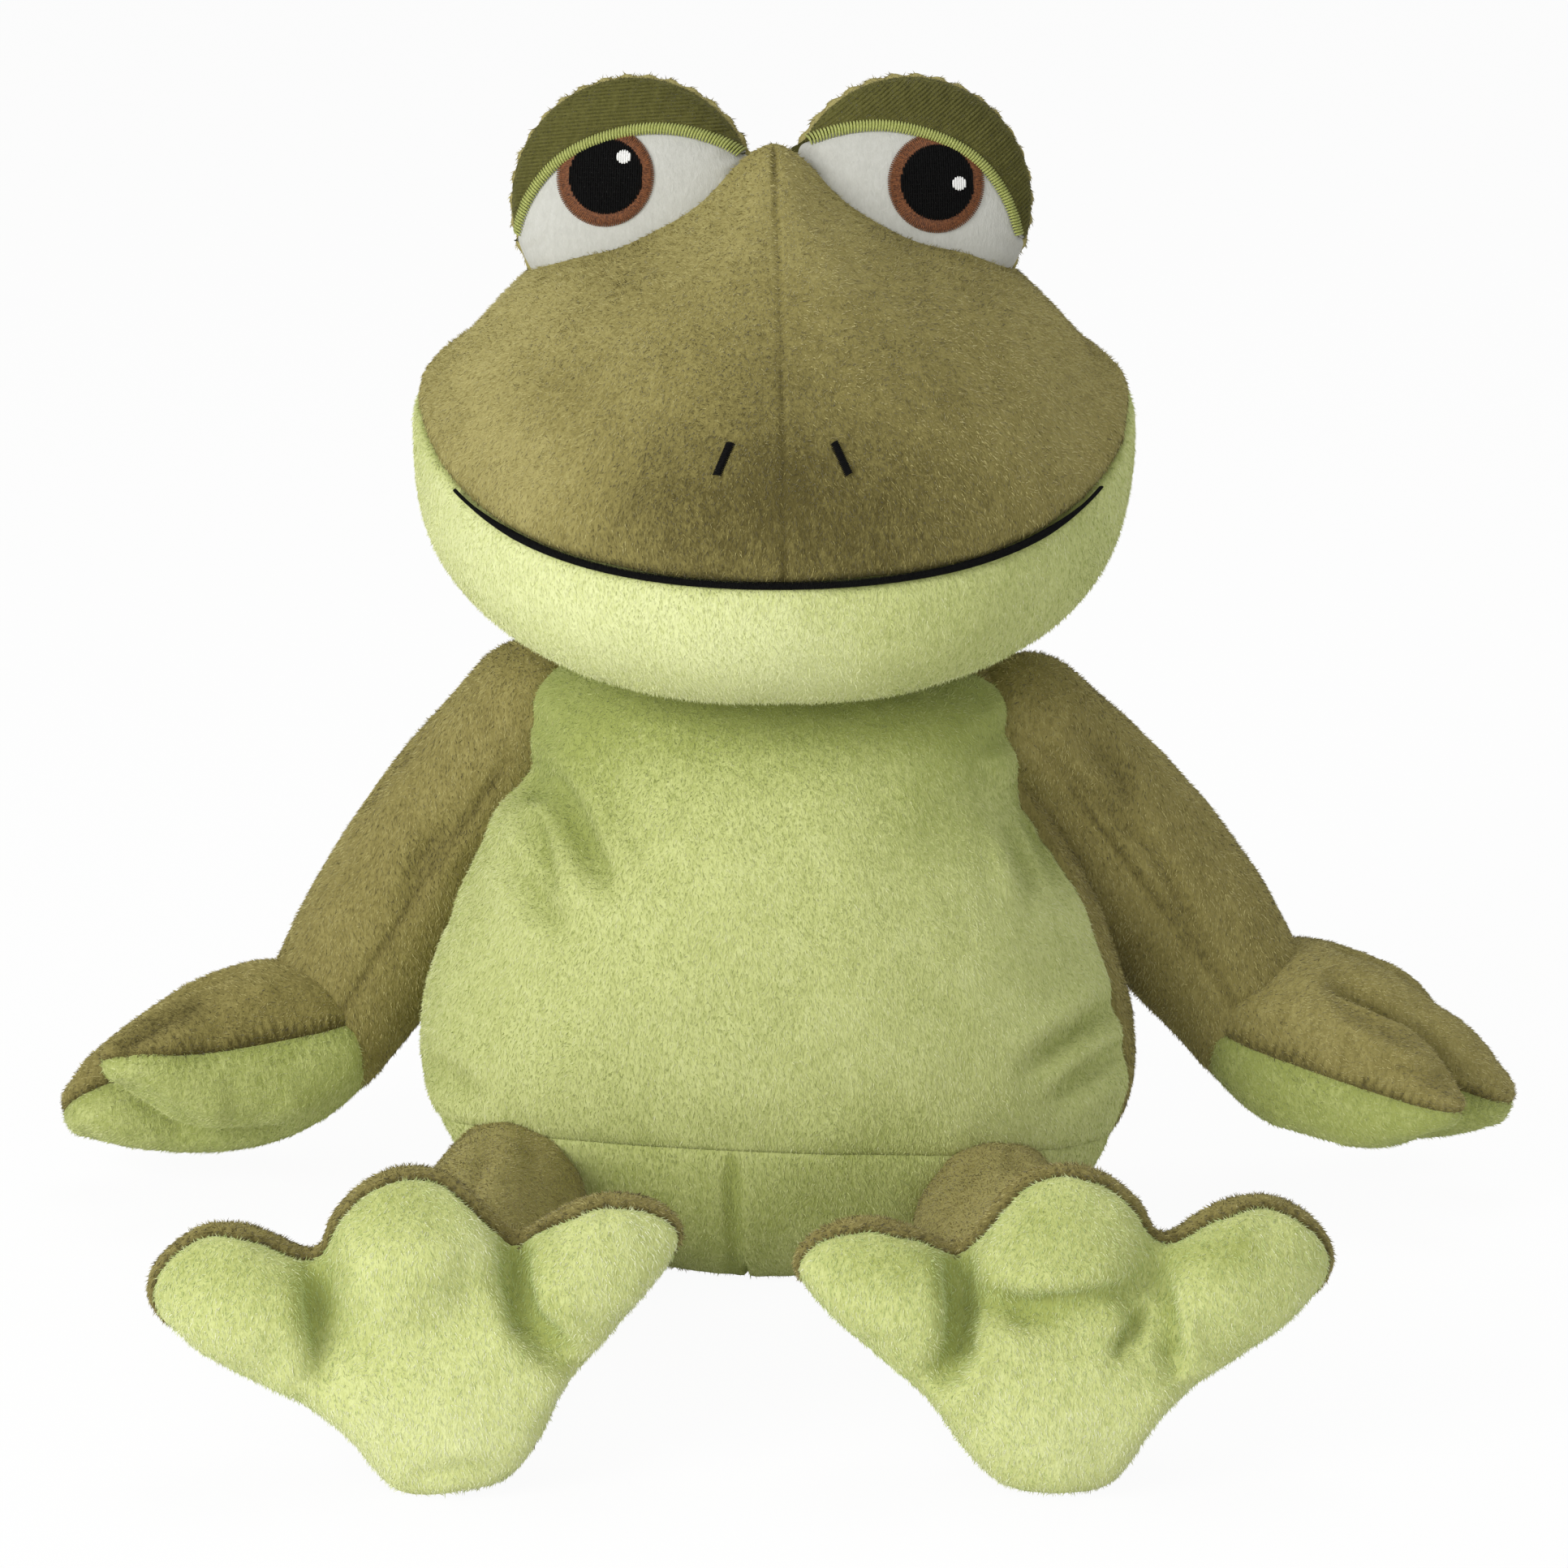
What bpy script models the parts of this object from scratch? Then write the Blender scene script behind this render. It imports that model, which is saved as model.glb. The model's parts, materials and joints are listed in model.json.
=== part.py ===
"""A seated plush frog: a pellet-weighted torso, a ball neck, a wide head with lidded eyes, and stuffed limbs.

Units are metres and +Z is up. The frog sits on the floor at z = 0, faces -Y, and its own left is +X.
The origin is on the flat underside of the seat. Each solid stands for its sewn panels and the filling inside.
"""

from math import cos, pi, radians, sin, sqrt

import bmesh
import bpy
from mathutils import Matrix, Vector, geometry

# Clearances
touch_gap = 0.0003  # between pieces that touch
cut_overrun = 0.004  # how far a cutter runs past what it cuts
floor_trim = 0.0005  # how deep a stuffed form is flattened where it stands
panel_edge = 0.0012  # thickness of a sewn edge, where a pillow's two halves meet
weld_distance = 0.000003  # points nearer than this are one point

# Torso, sewn from a belly, a back and a seat panel
torso_height = 0.143
torso_half_width = 0.0885
torso_front = 0.072
torso_back = 0.060
torso_turn = radians(-8)
torso_points = 28
torso_rings = 14
torso_fullness = 2.15
side_seam_back = 0.001  # how far the side seams lie behind the torso's middle
side_seam_turn = radians(-8)  # the seams lie further forward on the frog's left than on its right
seat_seam_height = 0.024  # height of the seat panel's seam at the torso's middle
seat_seam_slope = 0.2  # rise of that seam towards the front

# Bag of pellets in the seat
bag_half_width = 0.040
bag_half_depth = 0.032
bag_half_height = 0.015
bag_height = 0.023
bag_back = 0.010
bag_points = 16
bag_rings = 8

# Neck, a ball that the head turns and nods on
neck_radius = 0.022
neck_forward = 0.004
neck_sink = 0.001  # how far the ball's centre lies above the torso's flat top
neck_hollow_share = 1.028  # its hollows are this much larger, so that their flats clear the turning ball

# Head
head_half_width = 0.0865
head_front = 0.090
head_back = 0.058
head_top = 0.0705  # from the mouth seam up to the peak of the brow
jaw_depth = 0.0474  # from the mouth seam down to the chin
head_above_torso = 0.056  # from the torso's flat top up to the mouth seam at the head's middle
head_shift = -0.0010  # the head sits this far towards the frog's right
head_turn = radians(1.5)
mouth_slope = 0.2  # the mouth seam falls by this share of the way forward
cheek_rise = 0.0095  # how far the seam climbs from the snout to where it turns round the cheeks
cheek_fade = 4  # how fast that climb fades above and below the seam
head_points = 32
upper_rings = 11
jaw_rings = 7
head_fullness = 2.1
jaw_fullness = 2.7

# Eyes
eye_radius = 0.0300
eye_front_bulge = 0.0135
eye_back_bulge = 0.0145
eye_out = 0.0333  # from the head's middle to an eye's middle
eye_behind = 0.013
eye_above_seam = 0.0535
eye_lean = radians(10)
eye_splay = radians(9)
eye_points = 24
eye_rings = 6
eye_roundness = 2.3
lid_edge_radius = 0.0009
lid_edge_steps = 3
lid_trim_reach_share = 0.94

# Embroidery
iris_radius = 0.0116
pupil_radius = 0.0091
catchlight_radius = 0.0020
# Across to the left of the frog's head, and up, from the middle of each eye, iris or pupil
right_iris_middle = (-0.0073, 0.0060)
left_iris_middle = (0.0040, 0.0052)
right_pupil_shift = (0.0002, 0.0004)
left_pupil_shift = (0.0014, 0.0010)
right_catchlight_shift = (0.0038, 0.0054)
left_catchlight_shift = (0.0042, -0.0008)
stitch_thickness = 0.0008
iris_points = 24
catchlight_points = 10
nostril_length = 0.0085
nostril_width = 0.0018
nostril_spread = 0.0157
nostril_lean = radians(17)
mouth_line_width = 0.0021
mouth_line_reach = radians(60)  # how far the black line runs to each side of the snout
mouth_line_points = 34

# Arms
shoulder_out = 0.0610
shoulder_back = 0.0040
shoulder_below_top = 0.0160
shoulder_radius = 0.0172
arm_radius = 0.0215
# From the shoulder outwards, back and down
right_elbow_reach = (0.0270, 0.0176, 0.0430)
left_elbow_reach = (0.0284, 0.0195, 0.0390)
right_wrist_reach = (0.0549, 0.0105, 0.0865)
left_wrist_reach = (0.0580, 0.0195, 0.0804)
arm_clear_shares = (0.25, 0.5, 0.85)  # places along the arm that the torso is hollowed to clear
wrist_radius = 0.0182
wrist_taper = 0.0110  # how far from the wrist the arm reaches its full thickness
arm_points = 14
arm_rings = 9

# Hands
hand_length = 0.070
hand_width = 0.072
palm_bulge = 0.0245
hand_back_bulge = 0.0205
hand_grid = 0.0084
hand_droop = 0.0045  # how far the fingertips curl towards the palm

# Legs
hip_out = 0.0575
hip_forward = 0.0470
hip_radius = 0.0180
leg_radius = 0.0207
ankle_radius = 0.0190
leg_thickest_share = 0.5  # how far along the leg it is fullest
# From the hip outwards and forwards
right_heel_reach = (0.0078, 0.1492)
left_heel_reach = (0.0115, 0.1336)
leg_floor_gap = 0.0010
leg_points = 16
leg_rings = 5

# Feet
foot_width = 0.1195
foot_length = 0.0755
sole_bulge = 0.0165
foot_top_bulge = 0.0170
foot_lean = radians(12)
foot_grid = 0.0086
ankle_share = 0.40  # height of the ankle on the foot
ankle_behind_sole = 0.0215

# Swings that the pieces have to clear, as in the joints
shoulder_swing = (radians(-45), radians(25))
wrist_swing = (radians(-20), radians(20))
hip_swing = (radians(-8), radians(45))
ankle_swing = (radians(-15), radians(20))
ball_points = 16
ball_rings = 8
ball_allowance_share = 1.040  # a faceted cutter is this much larger, so that its flats clear the ball

# Steps between two points of an outline
curve_steps = 4

# Each side of the frog: -1 is its right and +1 its left
side_names = {-1: "right", 1: "left"}
shoulder_to_elbow = {-1: right_elbow_reach, 1: left_elbow_reach}
shoulder_to_wrist = {-1: right_wrist_reach, 1: left_wrist_reach}
finger_fall = {-1: radians(13), 1: radians(14)}
finger_sweep = {-1: radians(8), 1: radians(6)}
wrist_tilt = {-1: radians(13), 1: radians(-8)}
finger_tilt = {-1: radians(28), 1: radians(6)}
hip_to_heel = {-1: right_heel_reach, 1: left_heel_reach}
foot_roll = {-1: radians(9), 1: radians(1)}
iris_place = {-1: Vector(right_iris_middle), 1: Vector(left_iris_middle)}
pupil_shift = {-1: Vector(right_pupil_shift), 1: Vector(left_pupil_shift)}
catchlight_shift = {-1: Vector(right_catchlight_shift), 1: Vector(left_catchlight_shift)}

# Torso sections from the floor up: place along the form, then height, half width, front and back
torso_shares = [
    (0.00, 0.000, 0.720, 0.700, 0.720),
    (0.06, 0.022, 0.785, 0.800, 0.810),
    (0.14, 0.080, 0.865, 0.885, 0.890),
    (0.22, 0.165, 0.935, 0.950, 0.960),
    (0.32, 0.270, 1.000, 0.990, 1.000),
    (0.42, 0.385, 0.985, 1.000, 0.990),
    (0.52, 0.510, 0.925, 0.970, 0.945),
    (0.60, 0.625, 0.850, 0.920, 0.880),
    (0.68, 0.725, 0.765, 0.850, 0.790),
    (0.75, 0.805, 0.695, 0.775, 0.730),
    (0.82, 0.880, 0.685, 0.690, 0.670),
    (0.89, 0.945, 0.660, 0.590, 0.590),
    (0.95, 0.985, 0.575, 0.470, 0.480),
    (1.00, 1.000, 0.420, 0.340, 0.350),
]

# Upper head from the mouth seam to the brow's peak: place, then reach and rise to the side, front and back
upper_head_shares = [
    (0.00, 1.000, 0.000, 1.000, 0.000, 1.000, 0.000),
    (0.12, 0.965, 0.096, 1.012, 0.116, 1.010, 0.125),
    (0.25, 0.895, 0.198, 1.000, 0.236, 0.995, 0.260),
    (0.38, 0.812, 0.337, 0.930, 0.386, 0.930, 0.415),
    (0.52, 0.685, 0.492, 0.800, 0.540, 0.800, 0.550),
    (0.64, 0.550, 0.595, 0.640, 0.666, 0.620, 0.640),
    (0.76, 0.390, 0.668, 0.450, 0.785, 0.430, 0.705),
    (0.88, 0.205, 0.800, 0.240, 0.895, 0.220, 0.800),
    (0.96, 0.075, 0.945, 0.085, 0.972, 0.080, 0.940),
]

# Arm thickness along its length, as shares between the shoulder's, the arm's and the wrist's radius
arm_thickness_shares = [(0.0, 1.0, 0.0, 0.0), (0.40, 0.0, 1.0, 0.0), (0.75, 0.0, 1.0, 0.0), (1.0, 0.0, 0.0, 1.0)]

# Half of a lidded eye's edge, from its outer end to its inner end: across and up, in eye radii
lid_edge_shares = [
    (-0.93, -0.36),
    (-0.80, -0.05),
    (-0.62, 0.20),
    (-0.40, 0.37),
    (-0.12, 0.49),
    (0.18, 0.555),
    (0.48, 0.545),
    (0.76, 0.47),
    (0.93, 0.38),
]

# Hand outline from the wrist round the three fingers: along the hand, and across it
hand_outline_shares = [
    (-0.280, -0.120),
    (-0.220, -0.270),
    (-0.050, -0.350),
    (0.180, -0.390),
    (0.420, -0.450),
    (0.620, -0.505),
    (0.760, -0.490),
    (0.800, -0.410),
    (0.750, -0.320),
    (0.650, -0.235),
    (0.585, -0.175),
    (0.660, -0.155),
    (0.820, -0.165),
    (0.950, -0.115),
    (1.000, 0.000),
    (0.950, 0.115),
    (0.820, 0.165),
    (0.660, 0.155),
    (0.585, 0.175),
    (0.650, 0.235),
    (0.750, 0.320),
    (0.800, 0.410),
    (0.760, 0.490),
    (0.620, 0.505),
    (0.420, 0.450),
    (0.180, 0.390),
    (-0.050, 0.350),
    (-0.220, 0.270),
    (-0.280, 0.120),
]

# Foot outline from the heel round the three toes: across towards the outer toe, and up
foot_outline_shares = [
    (0.000, 0.000),
    (0.085, 0.015),
    (0.135, 0.100),
    (0.185, 0.225),
    (0.280, 0.360),
    (0.395, 0.490),
    (0.465, 0.600),
    (0.497, 0.700),
    (0.465, 0.810),
    (0.370, 0.885),
    (0.265, 0.845),
    (0.180, 0.765),
    (0.140, 0.855),
    (0.075, 0.935),
    (-0.005, 0.965),
    (-0.080, 0.935),
    (-0.135, 0.845),
    (-0.195, 0.730),
    (-0.270, 0.770),
    (-0.365, 0.800),
    (-0.455, 0.755),
    (-0.495, 0.665),
    (-0.470, 0.575),
    (-0.385, 0.450),
    (-0.290, 0.325),
    (-0.225, 0.225),
    (-0.175, 0.115),
    (-0.105, 0.015),
]

# Colours, as linear red, green and blue
olive = (0.230, 0.195, 0.058)
pale_green = (0.480, 0.540, 0.200)
lid_green = (0.095, 0.090, 0.028)
lid_edge_green = (0.330, 0.370, 0.090)
eye_cloth_white = (0.700, 0.700, 0.650)
iris_brown = (0.120, 0.045, 0.020)
thread_black = (0.010, 0.010, 0.010)
thread_white = (0.800, 0.800, 0.780)
bag_cloth = (0.600, 0.590, 0.550)
plush_roughness = 0.95
ribbed_roughness = 0.85
thread_roughness = 0.50

# Places that follow from the sizes above
torso_frame = Matrix.Rotation(torso_turn, 4, "Z")
neck_centre = torso_frame @ Vector((0, -neck_forward, torso_height + neck_sink))
head_middle = Vector((head_shift, 0, torso_height + head_above_torso))
head_frame = Matrix.Translation(head_middle) @ Matrix.Rotation(head_turn, 4, "Z")


def clear_scene():
    for item in list(bpy.data.objects):
        bpy.data.objects.remove(item, do_unlink=True)


def table_at(rows, at):
    """The values of a table at a place along its first column, on a smooth curve through its rows."""
    last = len(rows) - 1
    k = 0
    while k < last - 1 and at > rows[k + 1][0]:
        k += 1
    before, start, end, after = rows[max(k - 1, 0)], rows[k], rows[k + 1], rows[min(k + 2, last)]
    span = end[0] - start[0]
    t = min(max((at - start[0]) / span, 0), 1)
    values = []
    for column in range(1, len(start)):
        slope_in = (end[column] - before[column]) / (end[0] - before[0])
        slope_out = (after[column] - start[column]) / (after[0] - start[0])
        values.append(
            (2 * t**3 - 3 * t**2 + 1) * start[column]
            + (t**3 - 2 * t**2 + t) * span * slope_in
            + (3 * t**2 - 2 * t**3) * end[column]
            + (t**3 - t**2) * span * slope_out
        )
    return values


def smooth_curve(points, steps, closed):
    """A smooth curve through points in a plane, with some steps between each two."""
    count = len(points)
    curve = []
    for k in range(count if closed else count - 1):
        near = [k - 1, k, k + 1, k + 2]
        near = [n % count if closed else min(max(n, 0), count - 1) for n in near]
        a, b, c, d = (points[n] for n in near)
        for step in range(steps):
            t = step / steps
            curve.append(
                (b * 2 + (c - a) * t + (a * 2 - b * 5 + c * 4 - d) * t**2 + (b * 3 - a - c * 3 + d) * t**3) / 2
            )
    return curve if closed else curve + [points[-1]]


def evenly_spaced(curve, spacing):
    """Points a spacing apart along a closed curve."""
    lengths = [(curve[(k + 1) % len(curve)] - curve[k]).length for k in range(len(curve))]
    count = round(sum(lengths) / spacing)
    step = sum(lengths) / count
    points = []
    travelled, k = 0, 0
    for number in range(count):
        while travelled + lengths[k] < number * step:
            travelled += lengths[k]
            k += 1
        share = (number * step - travelled) / lengths[k]
        points.append(curve[k].lerp(curve[(k + 1) % len(curve)], share))
    return points


def power(value, exponent):
    """A power that keeps the sign."""
    return abs(value) ** exponent * (1 if value >= 0 else -1)


def cloth(name, colour, roughness):
    material = bpy.data.materials.new(name)
    material.use_nodes = True
    shader = material.node_tree.nodes["Principled BSDF"]
    shader.inputs["Base Color"].default_value = (*colour, 1)
    shader.inputs["Roughness"].default_value = roughness
    shader.inputs["Metallic"].default_value = 0
    return material


def add_piece(name, mesh_maker, colour, roughness, pivot=None):
    """Turns a bmesh into a named piece, its origin on the joint that moves it."""
    bmesh.ops.recalc_face_normals(mesh_maker, faces=mesh_maker.faces)
    pivot = pivot or Vector((0, 0, 0))
    mesh = bpy.data.meshes.new(name)
    bmesh.ops.translate(mesh_maker, verts=mesh_maker.verts, vec=-pivot)
    mesh_maker.to_mesh(mesh)
    mesh_maker.free()
    mesh.shade_smooth()
    piece = bpy.data.objects.new(name, mesh)
    piece.location = pivot
    piece.data.materials.append(cloth(name, colour, roughness))
    bpy.context.scene.collection.objects.link(piece)
    return piece


def add_cutter(name, mesh_maker):
    """A helper that only cuts other pieces."""
    bmesh.ops.recalc_face_normals(mesh_maker, faces=mesh_maker.faces)
    mesh = bpy.data.meshes.new(name)
    mesh_maker.to_mesh(mesh)
    mesh_maker.free()
    cutter = bpy.data.objects.new(name, mesh)
    cutter.hide_render = True
    cutter.display_type = "WIRE"
    bpy.context.scene.collection.objects.link(cutter)
    return cutter


def cut(piece, cutter, operation="DIFFERENCE"):
    boolean = piece.modifiers.new(cutter.name, "BOOLEAN")
    boolean.operation = operation
    boolean.solver = "EXACT"
    boolean.object = cutter


def loft(rings, low_tip=None, high_tip=None):
    """A closed body through rings of points. An end without a tip is closed flat."""
    body = bmesh.new()
    loops = [[body.verts.new(point) for point in ring] for ring in rings]
    for lower, upper in zip(loops, loops[1:]):
        for k in range(len(lower)):
            after = (k + 1) % len(lower)
            body.faces.new((lower[k], lower[after], upper[after], upper[k]))
    for loop, tip in ((loops[0], low_tip), (loops[-1], high_tip)):
        if tip is None:
            body.faces.new(loop)
            continue
        point = body.verts.new(tip)
        for k in range(len(loop)):
            body.faces.new((loop[k], loop[(k + 1) % len(loop)], point))
    return body


def keep_side(body, point, normal):
    """Cuts a closed body at a plane, keeps the side that the normal points to and closes the cut."""
    parts = body.verts[:] + body.edges[:] + body.faces[:]
    found = bmesh.ops.bisect_plane(body, geom=parts, plane_co=point, plane_no=normal, clear_inner=True)
    edges = [item for item in found["geom_cut"] if isinstance(item, bmesh.types.BMEdge)]
    bmesh.ops.edgeloop_fill(body, edges=edges)
    return body


def grown(body, by):
    """A closed body with its surface moved outwards."""
    bmesh.ops.recalc_face_normals(body, faces=body.faces)
    body.normal_update()
    moved = [(vertex, vertex.co + vertex.normal * by) for vertex in body.verts]
    for vertex, place in moved:
        vertex.co = place
    return body


def ball(centre, radius):
    body = bmesh.new()
    bmesh.ops.create_uvsphere(body, u_segments=ball_points, v_segments=ball_rings, radius=radius)
    bmesh.ops.translate(body, verts=body.verts, vec=centre)
    return body


def swept_space(pivot, balls, hinge, swing):
    """The space that a limb sweeps as it swings about a pivot. The limb is given as balls along it."""
    body = bmesh.new()
    start, end = swing
    for angle in (start, start / 2, 0, end / 2, end):
        turn = Matrix.Rotation(angle, 3, hinge)
        for centre, radius in balls:
            size = (radius + touch_gap) * ball_allowance_share
            made = bmesh.ops.create_uvsphere(body, u_segments=ball_points, v_segments=ball_rings, radius=size)
            bmesh.ops.translate(body, verts=made["verts"], vec=pivot + turn @ (centre - pivot))
    hull = bmesh.ops.convex_hull(body, input=body.verts)
    covered = {item for item in hull["geom_interior"] + hull["geom_unused"] if item.is_valid}
    bmesh.ops.delete(body, geom=[v for v in covered if isinstance(v, bmesh.types.BMVert)], context="VERTS")
    outside = set(hull["geom"])
    bmesh.ops.delete(body, geom=[face for face in body.faces if face not in outside], context="FACES")
    return body


def tube(centres, radii, points):
    """A round limb along a path, with a half ball at each end."""
    rings = []
    ahead = (centres[1] - centres[0]).normalized()
    behind = (centres[-1] - centres[-2]).normalized()
    cap_steps = points // 4
    stations = []
    for step in range(1, cap_steps):
        angle = pi / 2 * step / cap_steps
        stations.append((centres[0] - ahead * radii[0] * cos(angle), ahead, radii[0] * sin(angle)))
    for k, (centre, radius) in enumerate(zip(centres, radii)):
        direction = centres[min(k + 1, len(centres) - 1)] - centres[max(k - 1, 0)]
        stations.append((centre, direction.normalized(), radius))
    for step in range(1, cap_steps):
        angle = pi / 2 * step / cap_steps
        stations.append((centres[-1] + behind * radii[-1] * sin(angle), behind, radii[-1] * cos(angle)))
    sideways = ahead.cross(Vector((0, 1, 0)) if abs(ahead.y) < abs(ahead.z) else Vector((0, 0, 1))).normalized()
    for centre, direction, radius in stations:
        across = (sideways - direction * sideways.dot(direction)).normalized()
        over = direction.cross(across)
        rings.append(
            [centre + (across * cos(2 * pi * k / points) + over * sin(2 * pi * k / points)) * radius
             for k in range(points)]
        )
    return loft(rings, centres[0] - ahead * radii[0], centres[-1] + behind * radii[-1])


def rise_of_pillow(points, triangles, rim):
    """How far stuffing lifts each point of a flat panel held at its rim, from 0 to 1."""
    neighbours = [set() for _ in points]
    for a, b, c in triangles:
        neighbours[a] |= {b, c}
        neighbours[b] |= {a, c}
        neighbours[c] |= {a, b}
    lift = [0.0] * len(points)
    relaxing_rounds = 400
    for _ in range(relaxing_rounds):
        for k in range(rim, len(points)):
            lift[k] = 1 + sum(lift[n] for n in neighbours[k]) / len(neighbours[k])
    highest = max(lift)
    plumpness = 0.46
    return [(value / highest) ** plumpness for value in lift]


def flat_panel(outline, spacing):
    """Points and triangles that fill an outline, with the outline's own points first."""
    rim = evenly_spaced(outline, spacing)
    low = Vector((min(p.x for p in rim), min(p.y for p in rim)))
    high = Vector((max(p.x for p in rim), max(p.y for p in rim)))
    row_height = spacing * sqrt(3) / 2
    least_from_rim = spacing * 0.62
    inside = []
    for row in range(int((high.y - low.y) / row_height) + 1):
        for column in range(int((high.x - low.x) / spacing) + 1):
            spot = low + Vector(((column + (row % 2) / 2) * spacing, row * row_height))
            nearest = min((spot - p).length for p in rim)
            crossings = 0
            for k, p in enumerate(rim):
                q = rim[(k + 1) % len(rim)]
                if (p.y > spot.y) != (q.y > spot.y):
                    crossings += spot.x < p.x + (spot.y - p.y) * (q.x - p.x) / (q.y - p.y)
            if crossings % 2 and nearest > least_from_rim:
                inside.append(spot)
    edges = [(k, (k + 1) % len(rim)) for k in range(len(rim))]
    keep_inside = 1  # the choice that leaves out what is outside the outline
    found = geometry.delaunay_2d_cdt(rim + inside, edges, [], keep_inside, weld_distance)
    origin = [source[0] for source in found[3]]
    order = sorted(range(len(origin)), key=lambda k: origin[k])
    place = {old: new for new, old in enumerate(order)}
    points = [found[0][k] for k in order]
    triangles = [tuple(place[k] for k in face) for face in found[2]]
    return points, triangles, len(rim)


def pillow_half(outline, spacing, bulge, side, place):
    """One half of a stuffed pillow: a flat face at the seam and a domed face on its side, 1 or -1."""
    points, triangles, rim = flat_panel(outline, spacing)
    rises = rise_of_pillow(points, triangles, rim)
    body = bmesh.new()
    flat = [body.verts.new(place(p.x, p.y, side * touch_gap / 2)) for p in points]
    domed = [
        body.verts.new(place(p.x, p.y, side * (touch_gap / 2 + panel_edge + (bulge - panel_edge) * rise)))
        for p, rise in zip(points, rises)
    ]
    for a, b, c in triangles:
        body.faces.new((flat[a], flat[c], flat[b]))
        body.faces.new((domed[a], domed[b], domed[c]))
    for k in range(rim):
        after = (k + 1) % rim
        body.faces.new((flat[k], flat[after], domed[after], domed[k]))
    return body


def oval_ring(centre, half_width, front, back, fullness, points):
    """A ring in a level plane whose front and back can reach differently far."""
    ring = []
    for k in range(points):
        angle = 2 * pi * k / points
        reach = back if sin(angle) > 0 else front
        x = half_width * power(cos(angle), 2 / fullness)
        y = reach * power(sin(angle), 2 / fullness)
        ring.append(centre + Vector((x, y, 0)))
    return ring


def torso_form():
    """The whole torso: a pear that is widest just above the floor and flat where it sits."""
    rings = []
    for k in range(torso_rings):
        height, width, front, back = table_at(torso_shares, k / (torso_rings - 1))
        centre = Vector((0, 0, torso_height * height))
        ring = oval_ring(
            centre, torso_half_width * width, torso_front * front, torso_back * back, torso_fullness, torso_points
        )
        rings.append([torso_frame @ point for point in ring])
    return loft(rings)


def bag_form():
    """The pellet bag, a flattened round bag."""
    body = bmesh.new()
    bmesh.ops.create_uvsphere(body, u_segments=bag_points, v_segments=bag_rings, radius=1)
    size = Vector((bag_half_width, bag_half_depth, bag_half_height))
    bmesh.ops.scale(body, verts=body.verts, vec=size)
    bmesh.ops.translate(body, verts=body.verts, vec=Vector((0, bag_back, bag_height)))
    bmesh.ops.transform(body, matrix=torso_frame, verts=body.verts)
    return body


def make_torso(hollows):
    """The three torso panels, split at the side seam and the seat seam, with sockets for the limbs."""
    side_seam = torso_frame @ Vector((0, side_seam_back, 0))
    backwards = torso_frame.to_3x3() @ Matrix.Rotation(side_seam_turn, 3, "Z") @ Vector((0, 1, 0))
    seat_seam = Vector((0, 0, seat_seam_height))
    upwards = torso_frame.to_3x3() @ Vector((0, seat_seam_slope, 1)).normalized()
    half_gap = touch_gap / 2
    belly = keep_side(torso_form(), seat_seam + upwards * half_gap, upwards)
    belly = keep_side(belly, side_seam - backwards * half_gap, -backwards)
    back = keep_side(torso_form(), seat_seam + upwards * half_gap, upwards)
    back = keep_side(back, side_seam + backwards * half_gap, backwards)
    seat = keep_side(torso_form(), seat_seam - upwards * half_gap, -upwards)
    panels = [
        add_piece("torso_belly", belly, pale_green, plush_roughness),
        add_piece("torso_back", back, olive, plush_roughness),
        add_piece("torso_seat", seat, pale_green, plush_roughness),
    ]
    bag_hollow = add_cutter("bag_hollow", grown(bag_form(), 2 * touch_gap))
    for panel in panels:
        cut(panel, bag_hollow)
        for hollow in hollows:
            cut(panel, hollow)
    add_piece("pellet_bag", bag_form(), bag_cloth, plush_roughness)


def seam_height(y, rise):
    """How high the mouth seam lies, that far from the head's middle. Its climb fades with a rise away from it."""
    along = min(max((y + head_front) / head_front, 0), 1)
    climb = cheek_rise * along**2 * (3 - 2 * along) * (1 - rise) ** cheek_fade
    return mouth_slope * y + climb


def head_ring(table, at, heights, fullness):
    """A ring of the head at a place along a table. It leans with the mouth seam."""
    side_reach, side_rise, front_reach, front_rise, back_reach, back_rise = table_at(table, at)
    ring = []
    for k in range(head_points):
        angle = 2 * pi * k / head_points
        deep = sin(angle) ** 2
        end_reach = head_back * back_reach if sin(angle) > 0 else head_front * front_reach
        end_rise = back_rise if sin(angle) > 0 else front_rise
        x = head_half_width * side_reach * power(cos(angle), 2 / fullness)
        y = end_reach * power(sin(angle), 2 / fullness)
        rise = side_rise * (1 - deep) + end_rise * deep
        ring.append(Vector((x, y, heights * rise + seam_height(y, abs(rise)))))
    return ring


def jaw_table():
    """The jaw's sections, a full bowl from the mouth seam down to the chin."""
    rows = []
    for k in range(jaw_rings):
        angle = pi / 2 * k / jaw_rings
        reach = power(cos(angle), 2 / jaw_fullness)
        drop = -power(sin(angle), 2 / jaw_fullness)
        rows.append((k / jaw_rings, reach, drop, reach, drop, reach, drop))
    return rows


def head_surface(angle, at):
    """A point of the upper head at an angle round its front, and the outward direction there."""

    def point(angle, at):
        side_reach, side_rise, front_reach, front_rise, _, _ = table_at(upper_head_shares, at)
        x = head_half_width * side_reach * power(cos(angle), 2 / head_fullness)
        y = head_front * front_reach * power(sin(angle), 2 / head_fullness)
        rise = side_rise * cos(angle) ** 2 + front_rise * sin(angle) ** 2
        return head_frame @ Vector((x, y, head_top * rise + seam_height(y, rise)))

    step = radians(1)
    share_step = 0.02
    here = point(angle, at)
    round_it = point(angle + step, at) - point(angle - step, at)
    up_it = point(angle, at + share_step) - point(angle, max(at - share_step, 0))
    return here, round_it.cross(up_it).normalized()


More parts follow.
